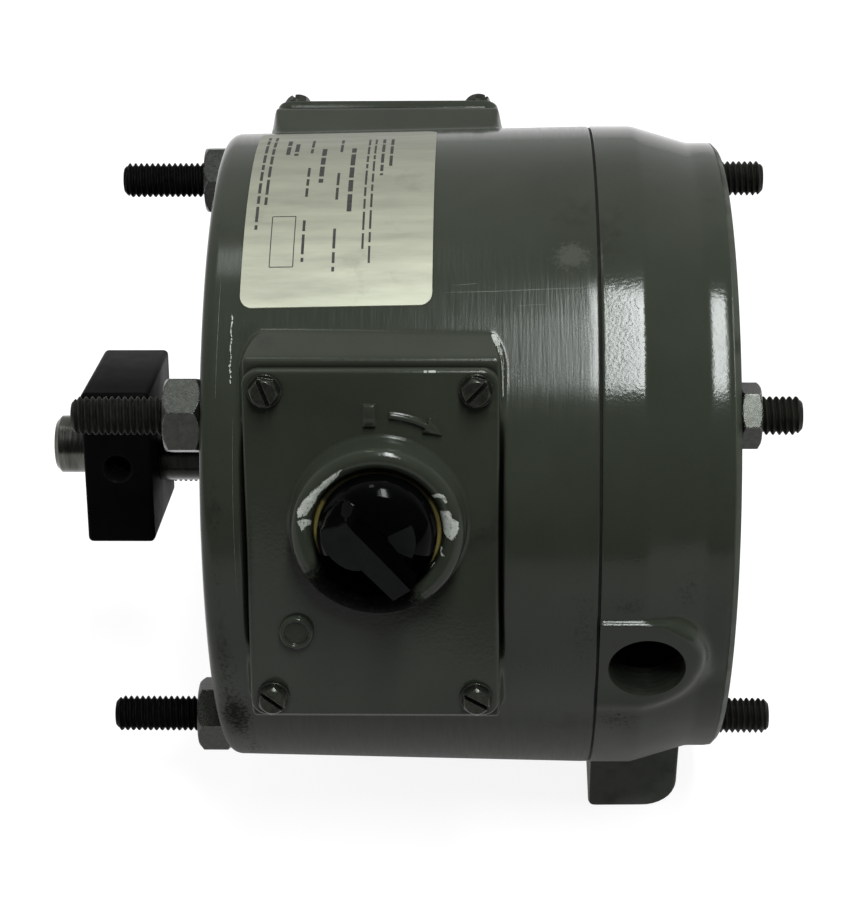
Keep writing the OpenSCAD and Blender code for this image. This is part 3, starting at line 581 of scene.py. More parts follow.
def knob():
    """Domed skirt with a pointer on it."""
    skirt = [(4.0, 91.25), (14.2, 91.3), (14.45, 91.6), (14.35, 94.0), (14.2, 95.0), (13.8, 96.0),
             (13.0, 97.2), (12.0, 98.2), (10.8, 98.9), (9.4, 99.3), (7.6, 99.45), (3.0, 99.5)]
    b = Build()
    turned(b, KNOB_X, KNOB_T, skirt)
    top, low = np.array(KNOB_TOP), np.array(KNOB_LOW)
    rows = []
    # Height, share of the way from the foot's outline to the top's, and inset
    for h, w, inset in ((95.5, 0, 0), (97.0, 0.06, 0), (99.0, 0.3, 0), (101.5, 0.66, 0), (104.2, 0.95, 0),
                        (105.0, 0.98, 0.02), (105.5, 1.0, 0.12), (105.75, 1.0, 0.3), (105.8, 1.0, 0.6)):
        q = low + (top - low) * w
        inward = np.array([-2.0, -2.0]) - q
        q = q + inward / np.linalg.norm(inward, axis=1)[:, None] * inset
        rows.append([on_pad(KNOB_X + x, KNOB_T + t, h) for x, t in q])
    b.grid(rows, caps=(True, True))
    return b.make("knob_body", angle=42)


# Paint wear and the label's bars

# Outlines of the collar's bare patches: angle round the knob, length along the collar's profile
CHIPS = [[(116.7, 11.4), (122, 12.4), (128.5, 12.9), (135.5, 13.0), (141.5, 12.6), (146.5, 12.6), (151, 13.0),
          (157.6, 12.6), (163.7, 12.1), (168.2, 10.2), (162.9, 9.6), (153.9, 10.3), (146.3, 10.9),
          (139.4, 11.3), (131.2, 11.4), (124.1, 11.4)],
         [(170.6, 10.2), (167.3, 12.0), (168.8, 13.9), (172.6, 13.9), (173.3, 12.5), (178.1, 11.5),
          (173.9, 11.0)],
         [(36.4, 13.8), (35.2, 11.6), (31, 10.6), (25.3, 11.0), (25.5, 11.5), (30.4, 11.6), (32.8, 12.5),
          (33.7, 13.4)],
         [(20.8, 13.8), (18.8, 11.1), (12.4, 11.1), (8.6, 9.7), (2.7, 10.0), (-5.1, 11.5), (-2.9, 12.9),
          (0.3, 13.8), (5, 15.1), (9.9, 15.1)],
         [(-13.7, 14.7), (-13.2, 13.8), (-17.3, 13.8), (-19.3, 12.5), (-20.5, 13.4), (-17, 14.3)],
         [(-31, 15.3), (-30.1, 15.1), (-29.2, 14.3), (-37.3, 14.7), (-34, 15.2)]]


def in_outline(poly, x, y):
    """Whether a point lies inside a closed outline."""
    hit, n = False, len(poly)
    for i in range(n):
        (xa, ya), (xb, yb) = poly[i], poly[(i + 1) % n]
        if (ya > y) != (yb > y) and x < (xb - xa) * (y - ya) / (yb - ya) + xa:
            hit = not hit
    return hit


def chips():
    """Bare patches on the collar with ragged edges, built from small cells just off its surface."""
    profile = np.array(collar_profile())
    run = np.concatenate([[0], np.cumsum(np.hypot(*np.diff(profile, axis=0).T))])

    def along(s):
        return np.array([np.interp(s, run, profile[:, 0]), np.interp(s, run, profile[:, 1])])

    def lifted(a, s):
        (r, h), (dr, dh) = along(s), along(s + 0.1) - along(s - 0.1)
        m = math.hypot(dr, dh)
        r, h = r + 0.04 * dh / m, h - 0.04 * dr / m
        return on_pad(KNOB_X + r * math.cos(a), KNOB_T + r * math.sin(a), h)

    rng = np.random.default_rng(7)
    b = Build()
    for poly in CHIPS:
        (a0, s0), (a1, s1) = np.min(poly, axis=0), np.max(poly, axis=0)
        na, ns = int((a1 - a0) / 0.45) + 2, int((s1 - s0) / 0.16) + 2
        angles, lengths = np.linspace(a0, a1, na), np.linspace(s0, s1, ns)
        ragged = rng.normal(0, 0.11, (na, ns))
        for i in range(na - 1):
            for j in range(ns - 1):
                a = 0.5 * (angles[i] + angles[i + 1]) + 2.2 * ragged[i, j]
                s = 0.5 * (lengths[j] + lengths[j + 1]) + 0.8 * ragged[i, j]
                if in_outline(poly, a, s):
                    cell = ((i, j), (i + 1, j), (i + 1, j + 1), (i, j + 1))
                    b.add([lifted(math.radians(angles[p]), lengths[q]) for p, q in cell], [(0, 1, 2, 3)])
    return b.make("collar_chips", angle=60)


def strip(b, x0, x1, a0, a1):
    """Thin curved strip on the label, from angle a0 to a1."""
    angles = np.linspace(a0, a1, int(abs(a1 - a0)) + 2)
    b.grid([polar(x, angles, skin_r(x) + INK_LIFT) for x in (x0, x1)], wrap=False)


def label_print():
    """Plain broken bars and one empty field in the label's place, with no lettering."""
    b = Build()
    rng = np.random.default_rng(3)
    # Place, width, and the angles between which a bar runs
    bars = ((-119.2, 0.75, 78, 111), (-117.3, 0.75, 84, 111), (-92.4, 0.55, 73, 108), (-90.7, 0.55, 70, 108),
            (-88.6, 0.8, 92, 108), (-86.4, 0.8, 94, 108), (-113.4, 1.1, 100, 108), (-111.2, 1.1, 100, 106),
            (-107.2, 0.7, 101, 108), (-107.2, 0.7, 86, 95), (-107.2, 0.7, 71, 80), (-103.9, 1.2, 90, 103),
            (-99.5, 0.7, 100, 108), (-99.5, 0.7, 84, 93), (-99.5, 0.7, 69, 78), (-96.2, 1.2, 82, 103))
    for x, w, a0, a1 in bars:
        a = a1
        while a > a0 + 0.6:
            step = float(rng.uniform(1.6, 4.6))
            strip(b, x - w / 2, x + w / 2, max(a0, a - step), a)
            a -= step + 0.75
    x0, x1, a0, a1 = -115.2, -109.4, 70, 81
    for x in (x0, x1):
        strip(b, x - 0.12, x + 0.12, a0, a1)
    for a in (a0, a1):
        strip(b, x0, x1, a - 0.09, a + 0.09)
    return b.make("label_bars", smooth=False)


def scratches():
    """Fine marks on the housing paint, each a path of (x, angle) and a width."""
    b = Build()
    for path, width in (([(-72, 64.9), (-60, 65.0), (-48, 65.3), (-36, 65.5)], 0.16),
                        ([(-126.9, 68), (-127.0, 60), (-127.2, 47)], 0.10),
                        ([(-122.9, 44), (-123.0, 30), (-122.8, 14)], 0.08),
                        ([(-70, 66.2), (-64, 66.5)], 0.12),
                        ([(-54, 62.4), (-47, 62.6)], 0.10),
                        ([(-45, 58.0), (-44.6, 52.0)], 0.10)):
        p = np.array(path)
        t, k = np.linspace(0, 1, 30), np.linspace(0, 1, len(p))
        x, a = np.interp(t, k, p[:, 0]), np.interp(t, k, p[:, 1])
        d = np.stack([np.gradient(x), np.gradient(np.radians(a) * ARC_R)], axis=1)
        d /= np.linalg.norm(d, axis=1)[:, None]
        half = width * np.sin(np.pi * np.clip(t, 0.02, 0.98)) ** 0.4 / 2
        rows = []
        for s in (-1, 1):
            xs = x - s * d[:, 1] * half
            rows.append(polar(xs, a + np.degrees(s * d[:, 0] * half / ARC_R), skin_r(xs) + MARK_LIFT))
        b.grid(rows, wrap=False)
    return b.make("paint_scratches", smooth=False)


def corner_wear_and_highlight(b, rng):
    """Bare line round the upper right corner of the front pad and down its side: rubbed paint, and a painted
    highlight along that edge.
    """
    side_x = PAD_X + PAD_HX
    path = []
    for a in np.radians(np.linspace(62, 0, 16)):
        path.append((side_x - PAD_CORNER + 5.2 * math.cos(a), PAD_EDGE - PAD_CORNER + 5.0 * math.sin(a)))
    path = np.array(path + [(side_x + 0.2, t) for t in np.linspace(44.6, 37.0, 16)])
    n = len(path)
    side = np.gradient(path, axis=0)
    side = np.stack([-side[:, 1], side[:, 0]], axis=1) / np.linalg.norm(side, axis=1)[:, None]
    width = np.interp(np.arange(n), [0, 3, 12, 31], [0.15, 0.75, 0.4, 0.08]) * rng.uniform(0.7, 1.2, n)
    full = PAD_HALF + PAD_DRAFT * PAD_FACE
    rows = []
    for k in (-1, -0.5, 0, 0.5, 1):
        q = path + side * (k * width + rng.normal(0, 0.04, n))[:, None]
        on_wall, on_face = np.arctan2(PAD_DRAFT, full / q[:, 1] - 1), np.arctan2(q[:, 1], PAD_FACE)
        beta = TILT + np.degrees(np.where(q[:, 1] > PAD_HALF, on_wall, on_face))
        rows.append([polar(x, a, house_r(x, a) + 0.03) for x, a in zip(q[:, 0], beta)])
    b.grid(rows, wrap=False)


def nicks():
    """Marks rubbed to the bare metal on the cover's upper edge and the housing's left edge, and the pad
    corner's bare line, which is also a painted highlight.
    """
    b = Build()
    rng = np.random.default_rng(11)
    corner_wear_and_highlight(b, rng)
    for x0, x1 in ((-76.6, -75.9), (-75.7, -73.8)):
        edge = ((43.8, 84.8), (44.05, 84.72), (44.3, 84.5))
        b.grid([[on_pad(x, t, n) for x in np.linspace(x0, x1, 5)] for t, n in edge], wrap=False)
    a = 61.2
    while a > 49.8:
        run = float(rng.uniform(0.35, 1.5))
        angles = np.linspace(a, a - run, 7)
        mid = -123.7 + 0.12 * np.sin(angles * 1.9) + rng.normal(0, 0.05, 7)
        width = np.abs(rng.normal(0.11, 0.07, 7)) * np.sin(np.pi * np.linspace(0.06, 0.94, 7)) ** 0.5 + 0.02
        b.grid([polar(x, angles, skin_r(x) + MARK_LIFT) for x in (mid - width, mid + width)], wrap=False)
        a -= run + float(rng.uniform(0.03, 0.3))
    return b.make("paint_nicks", smooth=False)


# Material helpers

ONE = (1, 1, 1)


def new_mat(name):
    m = bpy.data.materials.new(name)
    m.use_nodes = True
    nt = m.node_tree
    bsdf = next(n for n in nt.nodes if n.type == "BSDF_PRINCIPLED")
    return m, nt, bsdf


def node(nt, kind, **values):
    """New node; values are its plain inputs and its settings, by name."""
    n = nt.nodes.new(kind)
    for k, v in values.items():
        if k in n.inputs:
            n.inputs[k].default_value = v
        else:
            setattr(n, k, v)
    return n


def feed(nt, socket, value):
    """Links an output to the socket, or sets a plain number or colour on it."""
    if isinstance(value, bpy.types.NodeSocket):
        nt.links.new(value, socket)
    elif isinstance(value, (int, float)):
        socket.default_value = value
    else:
        socket.default_value = (*value, 1)


def calc(nt, operation, *values):
    n = node(nt, "ShaderNodeMath", operation=operation)
    for socket, value in zip(n.inputs, values):
        feed(nt, socket, value)
    return n.outputs[0]


def coords(nt, scale=ONE):
    tc = node(nt, "ShaderNodeTexCoord")
    mapping = node(nt, "ShaderNodeMapping", Scale=scale)
    nt.links.new(tc.outputs["Object"], mapping.inputs["Vector"])
    return mapping.outputs["Vector"]


def noise(nt, scale, detail=3.0, rough=0.5, stretch=ONE):
    n = node(nt, "ShaderNodeTexNoise", Scale=scale, Detail=detail, Roughness=rough)
    nt.links.new(coords(nt, stretch), n.inputs["Vector"])
    return n.outputs["Fac"]


def ramp(nt, fac, stops):
    r = node(nt, "ShaderNodeValToRGB")
    elements = r.color_ramp.elements
    elements[0].position, elements[0].color = stops[0][0], (*stops[0][1], 1)
    elements[1].position, elements[1].color = stops[-1][0], (*stops[-1][1], 1)
    for pos, col in stops[1:-1]:
        e = elements.new(pos)
        e.color = (*col, 1)
    nt.links.new(fac, r.inputs["Fac"])
    return r.outputs["Color"]


def to_range(nt, fac, a, b, lo=0.3, hi=0.7):
    """Maps lo to a and hi to b, held outside."""
    n = node(nt, "ShaderNodeMapRange")
    for k, v in (("From Min", lo), ("From Max", hi), ("To Min", a), ("To Max", b)):
        n.inputs[k].default_value = v
    nt.links.new(fac, n.inputs["Value"])
    return n.outputs["Result"]


def mix(nt, fac, a, b):
    n = node(nt, "ShaderNodeMix", data_type="RGBA")
    colours = [s for s in n.inputs if s.type == "RGBA"]
    for socket, value in ((n.inputs[0], fac), (colours[0], a), (colours[1], b)):
        feed(nt, socket, value)
    return next(s for s in n.outputs if s.type == "RGBA")


def bevelled(nt, radius):
    return node(nt, "ShaderNodeBevel", samples=6, Radius=radius).outputs["Normal"]


def bump(nt, bumps, bevel):
    """Normal from chained noise bumps over an optional bevel, or None."""
    last = bevelled(nt, bevel) if bevel else None
    for scale, strength, depth, *stretch in bumps:
        b = node(nt, "ShaderNodeBump", Strength=strength, Distance=depth)
        nt.links.new(noise(nt, scale, 2, 0.5, *stretch), b.inputs["Height"])
        if last is not None:
            nt.links.new(last, b.inputs["Normal"])
        last = b.outputs["Normal"]
    return last


def worn_edges(nt, radius):
    """Broken mask, 1 near sharp edges: the bevelled normal against the true one."""
    geo = node(nt, "ShaderNodeNewGeometry")
    dot = node(nt, "ShaderNodeVectorMath", operation="DOT_PRODUCT")
    nt.links.new(bevelled(nt, radius), dot.inputs[0])
    nt.links.new(geo.outputs["Normal"], dot.inputs[1])
    near = to_range(nt, dot.outputs["Value"], 1.0, 0.0, 0.8, 0.98)
    return calc(nt, "MULTIPLY", near, to_range(nt, noise(nt, 700, 4, 0.6), 0.15, 1.0, 0.35, 0.6))


def attribute(nt, name):
    return node(nt, "ShaderNodeAttribute", attribute_name=name).outputs["Fac"]


def mask(nt, name, patch, top=1.0):
    """A mesh attribute broken up by a patchy noise: 0 stays 0, 1 stays whole."""
    return to_range(nt, calc(nt, "MULTIPLY_ADD", attribute(nt, name), 2.0, patch), 0.0, top, 1.0, 2.0)


def shaded(colour, k):
    return tuple(k * c for c in colour)


def surface(name, stops, scale, rough, metallic=0.0, spec=0.5, bumps=(), bevel=None, edge=None, specks=None,
            stretch=ONE, streak=None, smudge=None, fade=None, crevice_shade=None, dirt_and_shade=False):
    """Material with noise in its colour and gloss, and with the wear that its options name.

    bumps: (scale, strength, depth in metres and perhaps stretch) of each; bevel: radius of the edges
    edge: (radius, colour) of worn edges; specks: (scale, threshold, colour)
    streak: (scale, stretch) of the gloss; smudge: (scale, threshold, amount)
    fade: (axis, start, end, amount, shade); crevice_shade: reach of the painted shade that darkens corners
    dirt_and_shade: whether the mesh's own masks for stains and painted shade, pale spots and dull paint are
    read
    """
    m, nt, b = new_mat(name)
    first = stops[0][1]
    dark = shaded(first, 0.22)
    col = ramp(nt, noise(nt, scale, 5, 0.6, stretch), stops)
    if smudge:
        size, start, top = smudge
        fac = to_range(nt, noise(nt, size, 5, 0.65), 0.0, top, start, start + 0.12)
        col = mix(nt, fac, col, shaded(first, 0.45))
    if fade:
        axis, start, end, top, shade = fade
        along = node(nt, "ShaderNodeSeparateXYZ")
        nt.links.new(coords(nt), along.inputs[0])
        col = mix(nt, to_range(nt, along.outputs[axis], 0.0, top, start, end), col, shaded(first, shade))
    if specks:
        size, start, colour = specks
        col = mix(nt, to_range(nt, noise(nt, size, 2, 0.5), 0.0, 1.0, start, start + 0.04), col, colour)
    if edge:
        col = mix(nt, worn_edges(nt, edge[0]), col, edge[1])
    if crevice_shade:
        # Ambient occlusion darkens corners and creases: painted shade
        ao = node(nt, "ShaderNodeAmbientOcclusion", samples=6, Distance=crevice_shade)
        col = mix(nt, to_range(nt, ao.outputs["AO"], 0.9, 0.0, 0.4, 0.85), col, dark)
    scuff = noise(nt, streak[0], 3, 0.6, streak[1]) if streak else noise(nt, scale * 2.3, 4, 0.6, stretch)
    gloss = to_range(nt, scuff, *rough)
    if dirt_and_shade:
        patch = to_range(nt, noise(nt, 1000, 6, 0.7), 0.0, 1.0, 0.4, 0.66)
        # The mesh mask darkens real stains on the housing and endplate, and paints shade on the collar and
        # the washer
        soil_and_shade = mask(nt, "dirt_and_shade", patch)
        col = mix(nt, soil_and_shade, col, shaded(dark, 0.3))
        col = mix(nt, mask(nt, "pale", patch, 0.32), col, (0.085, 0.088, 0.078))
        for fac in (soil_and_shade, attribute(nt, "dull")):
            gloss = calc(nt, "MULTIPLY_ADD", fac, 0.45, gloss)
    nt.links.new(col, b.inputs["Base Color"])
    nt.links.new(gloss, b.inputs["Roughness"])
    b.inputs["Metallic"].default_value = metallic
    b.inputs["Specular IOR Level"].default_value = spec
    normal = bump(nt, bumps, bevel)
    if normal is not None:
        nt.links.new(normal, b.inputs["Normal"])
    return m


def two(dark, light):
    """Colour stops of a surface that varies between two colours."""
    return [(0.3, dark), (0.7, light)]


# Materials

# Stretch of noise that runs round the body, and along a brushed shaft
RING, BRUSHED = (1, 0.06, 0.06), (9, 1, 1)
COAT = [(0.25, (0.0187, 0.0216, 0.0157)), (0.5, (0.0221, 0.0254, 0.0187)), (0.75, (0.0257, 0.0294, 0.0220))]
GRIT = (2600, 0.70, (0.010, 0.011, 0.0085))
# The paints, the screws and the washer darken their corners by ambient occlusion as painted shade
PAINT = surface("grey_paint", COAT, 28, (0.10, 0.17), spec=0.17, bevel=0.0006, specks=GRIT, crevice_shade=0.0022,
                smudge=(45, 0.60, 0.55), dirt_and_shade=True, bumps=[(1100, 0.4, 0.00006), (140, 0.05, 0.0003)])
# Paint for the painted shadow of the knob on the collar: darkened by the mesh mask, and without shine
SHADOWED_PAINT = surface("grey_paint_shadowed", COAT, 28, (0.2, 0.3), spec=0.03, dirt_and_shade=True,
                bumps=[(1400, 0.17, 0.00006)])
DULL = surface("grey_paint_dull", two((0.022, 0.0255, 0.0185), (0.038, 0.043, 0.032)), 60, (0.4, 0.6),
               spec=0.12, smudge=(70, 0.52, 0.7), specks=GRIT, bumps=[(1300, 0.08, 0.00006)])
# Darker, rougher paint for the conduit thread: the darker colour is painted shade inside the bore
BORE = surface("conduit_paint_shaded", two((0.007, 0.008, 0.0058), (0.016, 0.018, 0.013)), 150, (0.6, 0.8),
               spec=0.06, bumps=[(1500, 0.2, 0.00006)])
PAINT_BODY = surface("grey_paint_body", COAT, 28, (0.14, 0.2), spec=0.17, bevel=0.0006, specks=GRIT,
                     streak=(1500, RING), smudge=(38, 0.63, 0.5), crevice_shade=0.0022, dirt_and_shade=True,
                     bumps=[(1400, 0.1, 0.00006), (120, 0.05, 0.0003), (1500, 0.3, 0.00006, RING)])
SCREW = surface("screw_steel", two((0.016, 0.0172, 0.0135), (0.034, 0.036, 0.029)), 500, (0.2, 0.32),
                metallic=0.6, spec=0.3, bumps=[(1800, 0.2, 0.00005)], bevel=0.00025,
                edge=(0.00025, (0.11, 0.11, 0.10)), crevice_shade=0.0012)
BLACK = surface("black_steel", two((0.0012, 0.0013, 0.0012), (0.0026, 0.0028, 0.0025)), 40, (0.3, 0.42),
                spec=0.007, bumps=[(2500, 0.2, 0.00005)], edge=(0.0006, (0.017, 0.017, 0.0155)))
DUSTY = surface("dusty_steel", two((0.0024, 0.0024, 0.0018), (0.0082, 0.0084, 0.0060)), 260, (0.45, 0.7),
                spec=0.12, bumps=[(2500, 0.3, 0.00006)], bevel=0.0002)
ZINC = surface("zinc_steel", two((0.026, 0.027, 0.0235), (0.042, 0.0435, 0.039)), 700, (0.24, 0.31),
               metallic=0.85, bumps=[(1800, 0.09, 0.00005)], bevel=0.0005, edge=(0.0004, (0.26, 0.26, 0.25)))
STEEL = surface("steel", two((0.035, 0.035, 0.031), (0.10, 0.10, 0.092)), 60, (0.25, 0.42), metallic=1.0,
                stretch=BRUSHED, bumps=[(900, 0.12, 0.00004, BRUSHED)], bevel=0.0004)
# The shaft's fade darkens its journal between the hub and the housing: painted shade
SHAFT = surface("shaft_steel", two((0.035, 0.0345, 0.030), (0.115, 0.113, 0.103)), 60, (0.14, 0.3),
                metallic=1.0, stretch=BRUSHED, bumps=[(900, 0.12, 0.00004, BRUSHED)], bevel=0.0004,
                fade=("X", -0.1545, -0.1525, 0.96, 0.14))
GASKET = surface("gasket", two((0.004, 0.004, 0.004), (0.010, 0.010, 0.009)), 300, (0.7, 0.9), spec=0.1,
                 bumps=[(1500, 0.3, 0.00005)])
LEAF = [(0.28, (0.196, 0.196, 0.153)), (0.5, (0.262, 0.263, 0.204)), (0.75, (0.325, 0.326, 0.253))]
FOIL = surface("label_foil", LEAF, 30, (0.35, 0.5), metallic=0.25, stretch=(1, 6, 6),
               bumps=[(1500, 0.08, 0.00003)], smudge=(55, 0.60, 0.35), fade=("Y", -0.026, 0.03, 0.85, 0.62))
INK = surface("label_ink", two((0.012, 0.012, 0.011), (0.03, 0.03, 0.027)), 900, (0.5, 0.7), spec=0.3)
# The washer reads its mesh mask of painted shade and darkens its corners as painted shade
YELLOW = surface("yellow_washer", two((0.17, 0.135, 0.036), (0.34, 0.28, 0.085)), 150, (0.35, 0.55), spec=0.2,
                 bumps=[(1500, 0.1, 0.00003)], crevice_shade=0.002, dirt_and_shade=True)
PLASTIC = surface("black_plastic", two((0.0004, 0.0004, 0.0004), (0.0011, 0.0012, 0.0012)), 120, (0.06, 0.12),
                  spec=0.05, bumps=[(2200, 0.15, 0.00004)], bevel=0.0004)
# Lighter matte black for the knob's outward flats: partly a duller finish, partly painted reflection
PLASTIC_SHEEN = surface("black_plastic_matte_sheen", two((0.0016, 0.0019, 0.0020), (0.0034, 0.0040, 0.0041)), 400,
                       (0.5, 0.7), spec=0.1, bumps=[(2600, 0.3, 0.00005)])
# Darker black without gloss for the knob's lower side and the pointer's walls: painted shade
PLASTIC_SHADED = surface("black_plastic_shaded", two((0.0003, 0.0003, 0.0003), (0.0008, 0.0008, 0.0008)), 120,
                      (0.4, 0.5), spec=0.0, bumps=[(2200, 0.15, 0.00004)])
CHIP = surface("bare_chip", two((0.22, 0.23, 0.205), (0.42, 0.43, 0.40)), 700, (0.6, 0.8), spec=0.3,
               bumps=[(1500, 0.4, 0.0001)], specks=(1500, 0.62, (0.10, 0.10, 0.09)))
SCRATCH = surface("scratch", two((0.05, 0.053, 0.047), (0.11, 0.115, 0.105)), 500, (0.5, 0.7), spec=0.2)
LINING = surface("friction_lining", two((0.05, 0.035, 0.022), (0.10, 0.075, 0.05)), 500, (0.8, 0.95),
                 bumps=[(1800, 0.4, 0.0001)])
TAPE = surface("coil_tape", two((0.26, 0.09, 0.03), (0.38, 0.15, 0.06)), 200, (0.4, 0.6),
               bumps=[(900, 0.2, 0.0001)])


# Finish of the CAD nodes: steel, unless a line here says otherwise

FINISHES = ((PAINT, "housing endplate front_cover rear_cover access_plug"),
            (GASKET, "body_gasket front_gasket rear_gasket shaft_seal"),
            (BLACK, "thru_studs coupling_hub coupling_screw"),
            (ZINC, "stud_nuts jam_nut post_nuts pull_nuts lever"),
            (SCREW, "cover_screws"),
            (SHAFT, "shaft"),
            (FOIL, "label_plate"),
            (YELLOW, "knob_washer"),
            (PLASTIC, "knob"),
            (LINING, "friction_disc_a friction_disc_b"),
            (TAPE, "solenoid_coil"))
FINISH_OF = {part: mat for mat, parts in FINISHES for part in parts.split()}
for name, o in NODES.items():
    finish = FINISH_OF.get(name, STEEL)
    for s in o.material_slots:
        s.material = finish
    if not o.material_slots:
        o.data.materials.append(finish)


# Pieces

def dress(o, mat, body, slot, *nodes):
    """Gives a piece its finish and its body, and hides the nodes it stands for; the slot is not used."""
    o.data.materials.clear()
    o.data.materials.append(mat)
    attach(o, body)
    if nodes:
        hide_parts(*nodes)
    return o


def shade_collar(o):
    """Gives the part of the collar under the painted shadow of the knob a dark finish without shine."""
    o.data.materials.append(SHADOWED_PAINT)
    knob_shadow = [d.value for d in o.data.attributes["dirt_and_shade"].data]
    for f in o.data.polygons:
        f.material_index = 1 if len(f.vertices) < 5 and min(knob_shadow[v] for v in f.vertices) > 0.45 else 0


def dull_edges(o):
    """Gives the feet and the motor side edge of the endplate the dirty finish."""
    o.data.materials.append(DULL)
    for f in o.data.polygons:
        c = f.center / MM
        r = math.hypot(c.y, c.z)
        foot = c.z < -60 and r > plate_r(c.x) + 0.3
        f.material_index = 1 if foot or (c.x > -1.75 and r > 80) else 0


def knob_finishes(o):
    """Gives the knob's flats that face out, and a fan on its dome, a matte finish coloured lighter as painted
    reflection, and its lower side and the pointer's walls a darker finish without gloss as painted shade.
    """
    o.data.materials.append(PLASTIC_SHEEN)
    o.data.materials.append(PLASTIC_SHADED)
    for f in o.data.polygons:
        x, t, h = from_knob(f.center)
        r = math.hypot(x, t)
        across, along = f.normal.x, f.normal.dot(UP)
        dome = across * x + along * t > 0.995 * r * math.hypot(across, along)
        # A fan on the dome is coloured lighter as painted reflection
        sheen_fan = 4.6 < r < 10.8 and abs(math.atan2(t, x)) < 0.45
        if f.normal.dot(OUT) > 0.97 and (h > 105 or sheen_fan):
            f.material_index = 1
        # The lower side of the dome and the pointer's walls get the dark finish as painted shade
        elif dome and r > 7.0 and t < -0.3 * r or not dome and not (x < -3 and t > 3):
            f.material_index = 2


CLEAN_ENDS = [(1, 135, -1), (2, 225, -1), (3, 315, -1)]
DUSTY_ENDS = [(0, 45, -1), (0, 45, 1), (1, 135, 1), (2, 225, 1), (3, 315, 1)]
dress(housing(), PAINT_BODY, "base", "grey_paint", "housing")
dull_edges(dress(endplate(), PAINT, "base", "grey_paint", "endplate"))
dress(bore(), BORE, "base", "grey_paint")
dress(studs("stud_threads", CLEAN_ENDS), BLACK, "base", "black_steel", "thru_studs")
dress(studs("stud_threads_dusty", DUSTY_ENDS), DUSTY, "base", "black_steel")
dress(hub(), BLACK, "rotor", "black_steel", "coupling_hub")
shade_collar(dress(front_cover(), PAINT, "base", "grey_paint", "front_cover"))
dress(rear_cover(), PAINT, "base", "grey_paint", "rear_cover")
dress(plug(), PAINT, "base", "grey_paint", "access_plug")
dress(cavity(), GASKET, "base", "gasket")
knob_finishes(dress(knob(), PLASTIC, "release", "black_plastic", "knob"))
dress(washer(), YELLOW, "base", "yellow_washer", "knob_washer")
dress(chips(), CHIP, "base", "grey_paint")
dress(label_print(), INK, "base", "label_foil")
dress(scratches(), SCRATCH, "base", "grey_paint")
dress(nicks(), CHIP, "base", "grey_paint")


# Camera at the photograph's viewing angle

# Focal length and height of the picture in pixels, and the camera's place from the joint, before it is raised
FOCAL_PX, FRAME_PX, SENSOR = 2276.9, 900, 36.0
RAISED = 40.61
EYE = (-27.242, -632.468, -10.164)


def rot(axis, deg):
    return np.array(Matrix.Rotation(math.radians(deg), 3, axis))


def camera():
    """Pinhole camera without shift, fitted to the body's outline."""
    raised = turn_x(-RAISED)
    turn = raised @ rot("Z", 1.690) @ rot("X", 0.7645) @ rot("Y", -0.0468)
    place = raised @ np.array(EYE) + np.array([X_JOINT, 0, 0])
    cam = bpy.data.objects.new("camera", bpy.data.cameras.new("camera"))
    scene.collection.objects.link(cam)
    matrix = np.eye(4)
    matrix[:3] = np.column_stack([turn[:, 0], turn[:, 2], -turn[:, 1], place * MM])
    cam.matrix_world = Matrix(matrix.tolist())
    cam.data.sensor_fit = "AUTO"
    cam.data.sensor_width = SENSOR
    cam.data.lens = FOCAL_PX / FRAME_PX * SENSOR
    cam.data.clip_start, cam.data.clip_end = 0.01, 50
    scene.camera = cam


# Floor, world and lamps

def floor():
    """Pale floor that looks white to the camera and in reflections, and keeps the shadow."""
    angles = circle(64)
    b = Build()
    rows = []
    for r in (1.0, 600.0, 3000.0, 9000.0):
        x, y = FLOOR_X + r * np.cos(angles), r * np.sin(angles)
        rows.append(np.stack([x, y, np.full(len(angles), FLOOR_Z)], axis=-1))
    b.grid(rows, caps=(True, False))
    o = b.make("floor", smooth=False)
    m, nt, bsdf = new_mat("floor_paint")
    col = ramp(nt, noise(nt, 6, 4, 0.5), two((0.16, 0.16, 0.16), (0.17, 0.17, 0.17)))
    nt.links.new(col, bsdf.inputs["Base Color"])
    bsdf.inputs["Roughness"].default_value = 0.9
    bsdf.inputs["Specular IOR Level"].default_value = 0.0
    rays = node(nt, "ShaderNodeLightPath").outputs
    seen = calc(nt, "MAXIMUM", rays["Is Camera Ray"], rays["Is Glossy Ray"])
    seen = calc(nt, "MAXIMUM", seen, rays["Is Transmission Ray"])
    glow = node(nt, "ShaderNodeEmission", Strength=0.9)
    add = node(nt, "ShaderNodeAddShader")
    switch = node(nt, "ShaderNodeMixShader")
    out = next(n for n in nt.nodes if n.type == "OUTPUT_MATERIAL")
    nt.links.new(bsdf.outputs[0], add.inputs[0])
    nt.links.new(glow.outputs[0], add.inputs[1])
    nt.links.new(seen, switch.inputs[0])
    nt.links.new(bsdf.outputs[0], switch.inputs[1])
    nt.links.new(add.outputs[0], switch.inputs[2])
    nt.links.new(switch.outputs[0], out.inputs["Surface"])
    o.data.materials.append(m)


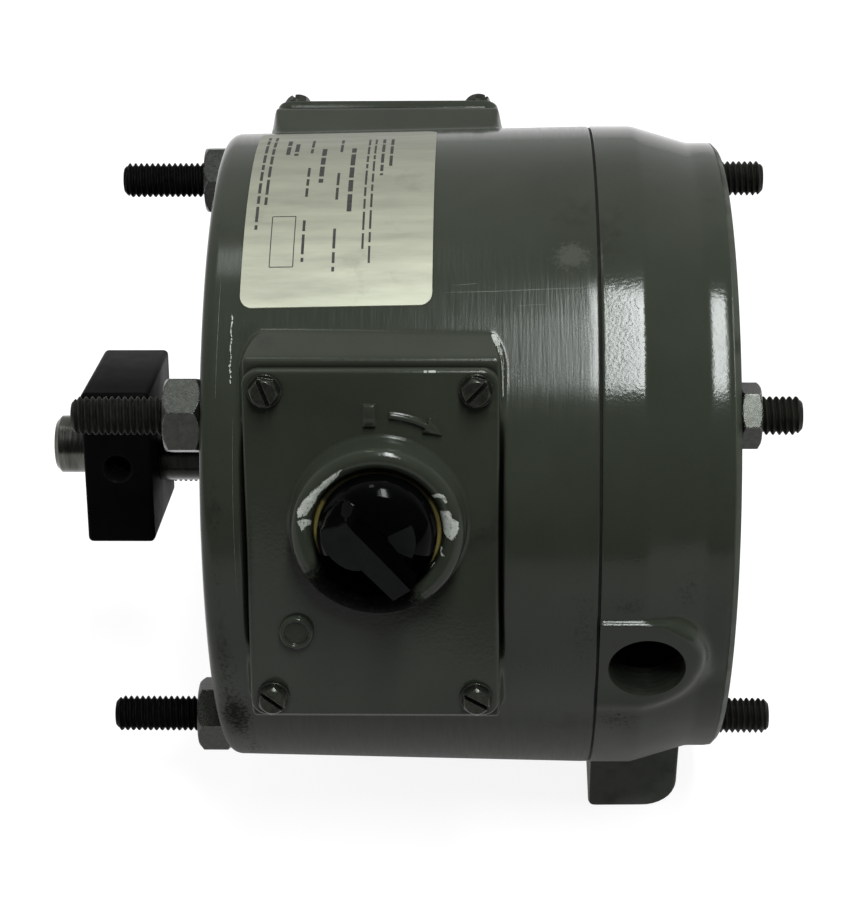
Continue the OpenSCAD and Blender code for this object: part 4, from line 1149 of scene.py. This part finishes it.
def sky():
    """World light by the angle about X, from the front horizon at 0 over the top to the back at 1."""
    world = bpy.data.worlds.new("studio")
    scene.world = world
    world.use_nodes = True
    nt = world.node_tree
    background = next(n for n in nt.nodes if n.type == "BACKGROUND")
    tc = node(nt, "ShaderNodeTexCoord")
    way = node(nt, "ShaderNodeSeparateXYZ")
    nt.links.new(tc.outputs["Generated"], way.inputs[0])
    arc = calc(nt, "ARCTAN2", way.outputs["Z"], calc(nt, "MULTIPLY", way.outputs["Y"], -1.0))
    levels = [(0.0, 0.08), (0.42, 0.10), (0.56, 0.28), (0.7, 0.72), (0.82, 0.73), (1.0, 0.76)]
    col = ramp(nt, to_range(nt, arc, 0.0, 1.0, 0.0, math.pi), [(k, (v, v, v)) for k, v in levels])
    nt.links.new(col, background.inputs["Color"])


def lamp(name, at, target, sx, sy, radiance):
    """Area lamp of a given radiance, so the power follows the size."""
    d = bpy.data.lights.new(name, "AREA")
    d.shape = "RECTANGLE"
    d.size, d.size_y = sx, sy
    d.energy = radiance * sx * sy * math.pi
    d.color = (0.95, 1.0, 0.985)
    o = bpy.data.objects.new(name, d)
    o.visible_camera = False
    scene.collection.objects.link(o)
    z = (Vector(at) - Vector(target)).normalized()
    x = Vector((1, 0, 0))
    x = (x - z * x.dot(z)).normalized()
    o.matrix_world = Matrix.Translation(at) @ Matrix((x, z.cross(x), z)).transposed().to_4x4()
    return o


def overhead(name, elevation, x, sx, sy, radiance):
    """Lamp above the shaft's line, at an elevation in degrees from the front; lengths in metres."""
    e, away = math.radians(elevation), 1.5
    return lamp(name, (x, -away * math.cos(e), away * math.sin(e)), (x, 0, 0), sx, sy, radiance)


camera()
sky()
floor()
overhead("window", 75.6, 0.119, 0.167, 0.98, 56)
overhead("window_edge", 70.5, -0.041, 0.054, 0.69, 15)
overhead("kicker", 106, -0.3, 0.14, 0.28, 9)
for side, at, target in (("left", (-1.65, 0, 0.55), (-0.13, 0, 0)), ("right", (1.6, 0, 0.55), (0, 0, 0))):
    lamp("side_" + side, at, target, 0.7, 1.0, 5).visible_glossy = False
